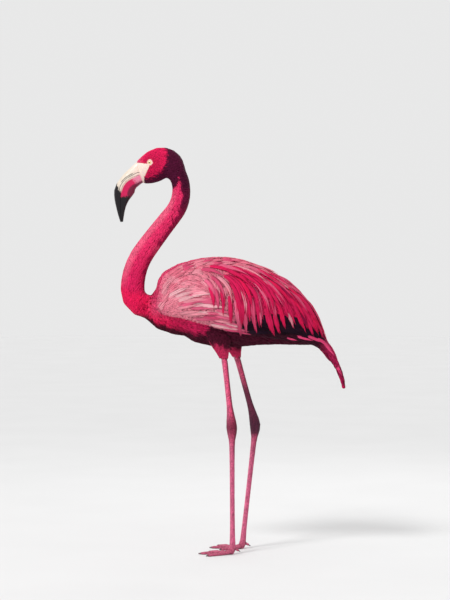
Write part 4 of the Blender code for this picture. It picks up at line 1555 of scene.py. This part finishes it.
def make_bill(half, obj, line, material):
    """One half of the bill with its ridges, groove, nostril and colours."""
    co, normal = get_points(obj.data), get_normals(obj.data)
    away = np.linalg.norm(co[:, None, 1:] - line[None], axis=2)
    share = away.argmin(1) / (GAPE_POINTS - 1)
    off = away.min(1)
    side = np.clip(np.abs(normal[:, 0]) * 1.4, 0, 1)
    height, cut = bill_relief(half, off, share, side)
    set_points(obj.data, reach_into_head(co + normal * height[:, None], 3.5 * MM))
    finish_piece(obj, [f"bill_{half}"], material, bill_tint(half, co, off, share, cut))


def reach_into_head(co, extend):
    """Carries the bill's root a little way back under the skin of the face."""
    slope = math.radians(16)
    behind = (co[:, 1] - (BILL_HIGH[1] - 10 * MM)) * math.cos(slope)
    behind = behind + (co[:, 2] - EYES[1][2]) * math.sin(slope)
    weight = ease(-1.5 * MM, 1.5 * MM, behind)
    return co + weight[:, None] * extend * np.array((0, math.cos(slope), math.sin(slope)))


def bill_tint(half, co, off, share, cut):
    """Pale horn at the root, crimson jaw, black from the bend to the tip."""
    uneven = 0.02 * ripple(co, 7 * MM, 13)
    if half == "upper":
        black = ease(0.44, 0.49, share + uneven + 6 * off)
        colours = plain("bill_white", co)
        colours = mixed(colours, "lores", 0.8 * ease(0.14, 0.02, share + uneven))
        colours = mixed(colours, "bill_pink", 0.3 * ease(3 * MM, 1 * MM, off))
        # painted shade: the groove and nostril darkened with the tip's black
        colours = mixed(colours, "bill_black", 0.9 * ease(0.3, 0.8, cut))
        # painted shade: a thin dark line along the gape, where the halves meet
        colours = mixed(colours, "bill_black", 0.8 * ease(0.8 * MM, 0.2 * MM, off))
    else:
        black = ease(0.50, 0.56, share + uneven)
        colours = plain("bill_crimson", co)
        colours = mixed(colours, "bill_pink", ease(0.16, 0.06, share + uneven))
        colours = mixed(colours, "bill_purple", 0.9 * ease(14 * MM, 19 * MM, off + 40 * MM * uneven))
        colours = mixed(colours, "bill_white", 0.75 * ease(2.2 * MM, 1.2 * MM, off) * ease(0.5, 0.4, share))
    return mixed(colours, "bill_black", black)


# ---------------- eyes and claws
def make_eye(side, sign, material):
    """An eyeball whose pole looks outwards: pupil, iris with a dark rim, and a bulging cornea."""
    bpy.ops.mesh.primitive_uv_sphere_add(segments=48, ring_count=40, radius=EYE_RADIUS, location=(0, 0, 0))
    obj = bpy.context.object
    obj.name = f"eyeball_{side}"
    co = get_points(obj.data)
    out = eye_way(sign)
    across = unit(np.cross(out, (0.0, 0.0, 1.0)))
    up = np.cross(across, out)
    aside = np.hypot(co[:, 0], co[:, 1]) + (co[:, 2] < 0) * EYE_RADIUS
    bulge = 1 + 0.045 * ease(5.0 * MM, 2.0 * MM, aside)
    place = (co[:, :1] * across + co[:, 1:2] * up + co[:, 2:] * out) * bulge[:, None]
    set_points(obj.data, place + EYES[sign])
    colours = plain("eye_white", co)
    for name, outer, inner in (("eye_rim", 5.2, 4.8), ("iris", 4.6, 4.1), ("pupil", 2.1, 1.8)):
        colours = mixed(colours, name, ease(outer * MM, inner * MM, aside))
    face_outwards(obj.data)
    finish_piece(obj, [f"eye_{side}"], material, colours)


def make_claws(side, form, material):
    """The four claws of a foot, smooth and slightly hooked, set a little way into the toes."""
    nodes = [f"claw_{claw}_{side}" for claw in CLAWS]
    obj = merged_copies(f"claws_{side}", nodes, 0.0)
    smooth = obj.modifiers.new("round", "SUBSURF")
    smooth.levels = smooth.render_levels = 2
    apply_all(obj)
    co = get_points(obj.data)
    ankle = form.co[np.abs(form.co[:, 2] - 0.04) < 0.01].mean(0)
    co = co + unit((ankle - co) * (1, 1, 0)) * 1.2 * MM
    set_points(obj.data, co)
    colours = mixed(plain("claw", co), "claw_tip", 0.5 * ease(4.5 * MM, 2 * MM, co[:, 2]))
    finish_piece(obj, nodes, material, colours)


# ---------------- room, light and camera
def make_floor():
    """A wide, matt floor, nearly the colour of the room."""
    bpy.ops.mesh.primitive_circle_add(vertices=96, radius=14, fill_type="NGON", location=(0, 0, -0.0005))
    floor = bpy.context.object
    floor.name = "floor"
    finish = Finish("matt_pale_floor", 0.8)
    grain = finish.noise(3.0, 2.0, object_place(finish))
    base = finish.add("ShaderNodeRGB")
    base.outputs[0].default_value = (*TINT["floor"], 1)
    finish.link(varied(finish, base.outputs[0], grain, 0.97, 1.03), "Base Color")
    floor.data.materials.append(finish.material)


def make_light(name, place, target, energy):
    """A square soft box that faces its target."""
    light = bpy.data.lights.new(name, "AREA")
    light.size = 0.9
    light.energy = energy
    obj = new_object(name, light)
    obj.location = place
    obj.rotation_euler = (Vector(target) - Vector(place)).to_track_quat("-Z", "Y").to_euler()


def make_lights():
    """A soft, distant light from above, two soft boxes and an even white room."""
    sun = bpy.data.lights.new("sky_panel", "SUN")
    sun.energy = 1.5
    sun.angle = math.radians(14)
    panel = new_object("sky_panel", sun)
    panel.rotation_euler = Vector((-0.62, 0.52, -0.9)).to_track_quat("-Z", "Y").to_euler()
    make_light("key", (1.9, -1.5, 2.0), (0, 0, 0.72), 14)
    make_light("rim", (-1.6, 0.9, 1.9), (0, 0, 0.75), 9)
    world = bpy.data.worlds.new("studio")
    world.use_nodes = True
    world.node_tree.nodes["Background"].inputs["Color"].default_value = (*TINT["daylight"], 1)
    world.node_tree.nodes["Background"].inputs["Strength"].default_value = 0.93
    bpy.context.scene.world = world


def make_camera():
    """A long lens that looks at the bird's left side from about its own height."""
    camera = bpy.data.cameras.new("camera")
    camera.lens = 117.6
    obj = new_object("camera", camera)
    middle = -11.4 * MM     # what the lens looks at, a little ahead of the legs
    obj.location = (5.0, middle, 0.75)
    obj.rotation_euler = (Vector((0, middle, 0.643)) - obj.location).to_track_quat("-Z", "Y").to_euler()
    bpy.context.scene.camera = obj
    bpy.context.scene.view_settings.view_transform = "Standard"


# ---------------- the whole bird
def build():
    """Makes every piece of the bird. Helper forms are removed at the end."""
    feather, skin, scale = make_feather(), make_skin(), make_scale()
    horn = make_horn("bill_horn", 0.3, 3 * MM)
    claw = make_horn("claw_horn", 0.38, 1.5 * MM)
    eye = make_eye_finish()
    bird = Bird()
    fine = make_blade("fine_blade", 3, (0.55, 1.0, 0.95, 0.12))
    slim = make_blade("slim_blade", 4, (0.5, 0.95, 1.0, 0.8, 0.1))
    long = make_blade("long_blade", 8, (0.5, 0.8, 0.95, 1.0, 1.0, 0.95, 0.85, 0.6, 0.08))
    legs = {side: leg_form(side) for side, _ in SIDES}
    forms = {side: Form(leg) for side, leg in legs.items()}
    make_skin_piece(bird, legs, skin)
    for side, sign in SIDES:
        scale_leg(side, sign, forms[side], scale)
        make_claws(side, forms[side], claw)
        make_eye(side, sign, eye)
    halves = bill_forms()
    line = gape_line(halves)
    make_bill("upper", halves["upper"], line, horn)
    make_bill("lower", halves["lower"], line, horn)
    feather_head(bird, feather, fine)
    feather_neck(bird, feather, slim)
    feather_trunk(bird, feather, fine)
    feather_thighs(bird, feather, fine)
    feather_wings(bird, feather, fine)
    feather_wing_rows(bird, feather, long)
    feather_flight(bird, feather, long)
    feather_tail(bird, feather, long, slim)
    for helper in [bird.obj, *legs.values()]:
        bpy.data.objects.remove(helper)


build()
make_floor()
make_lights()
make_camera()
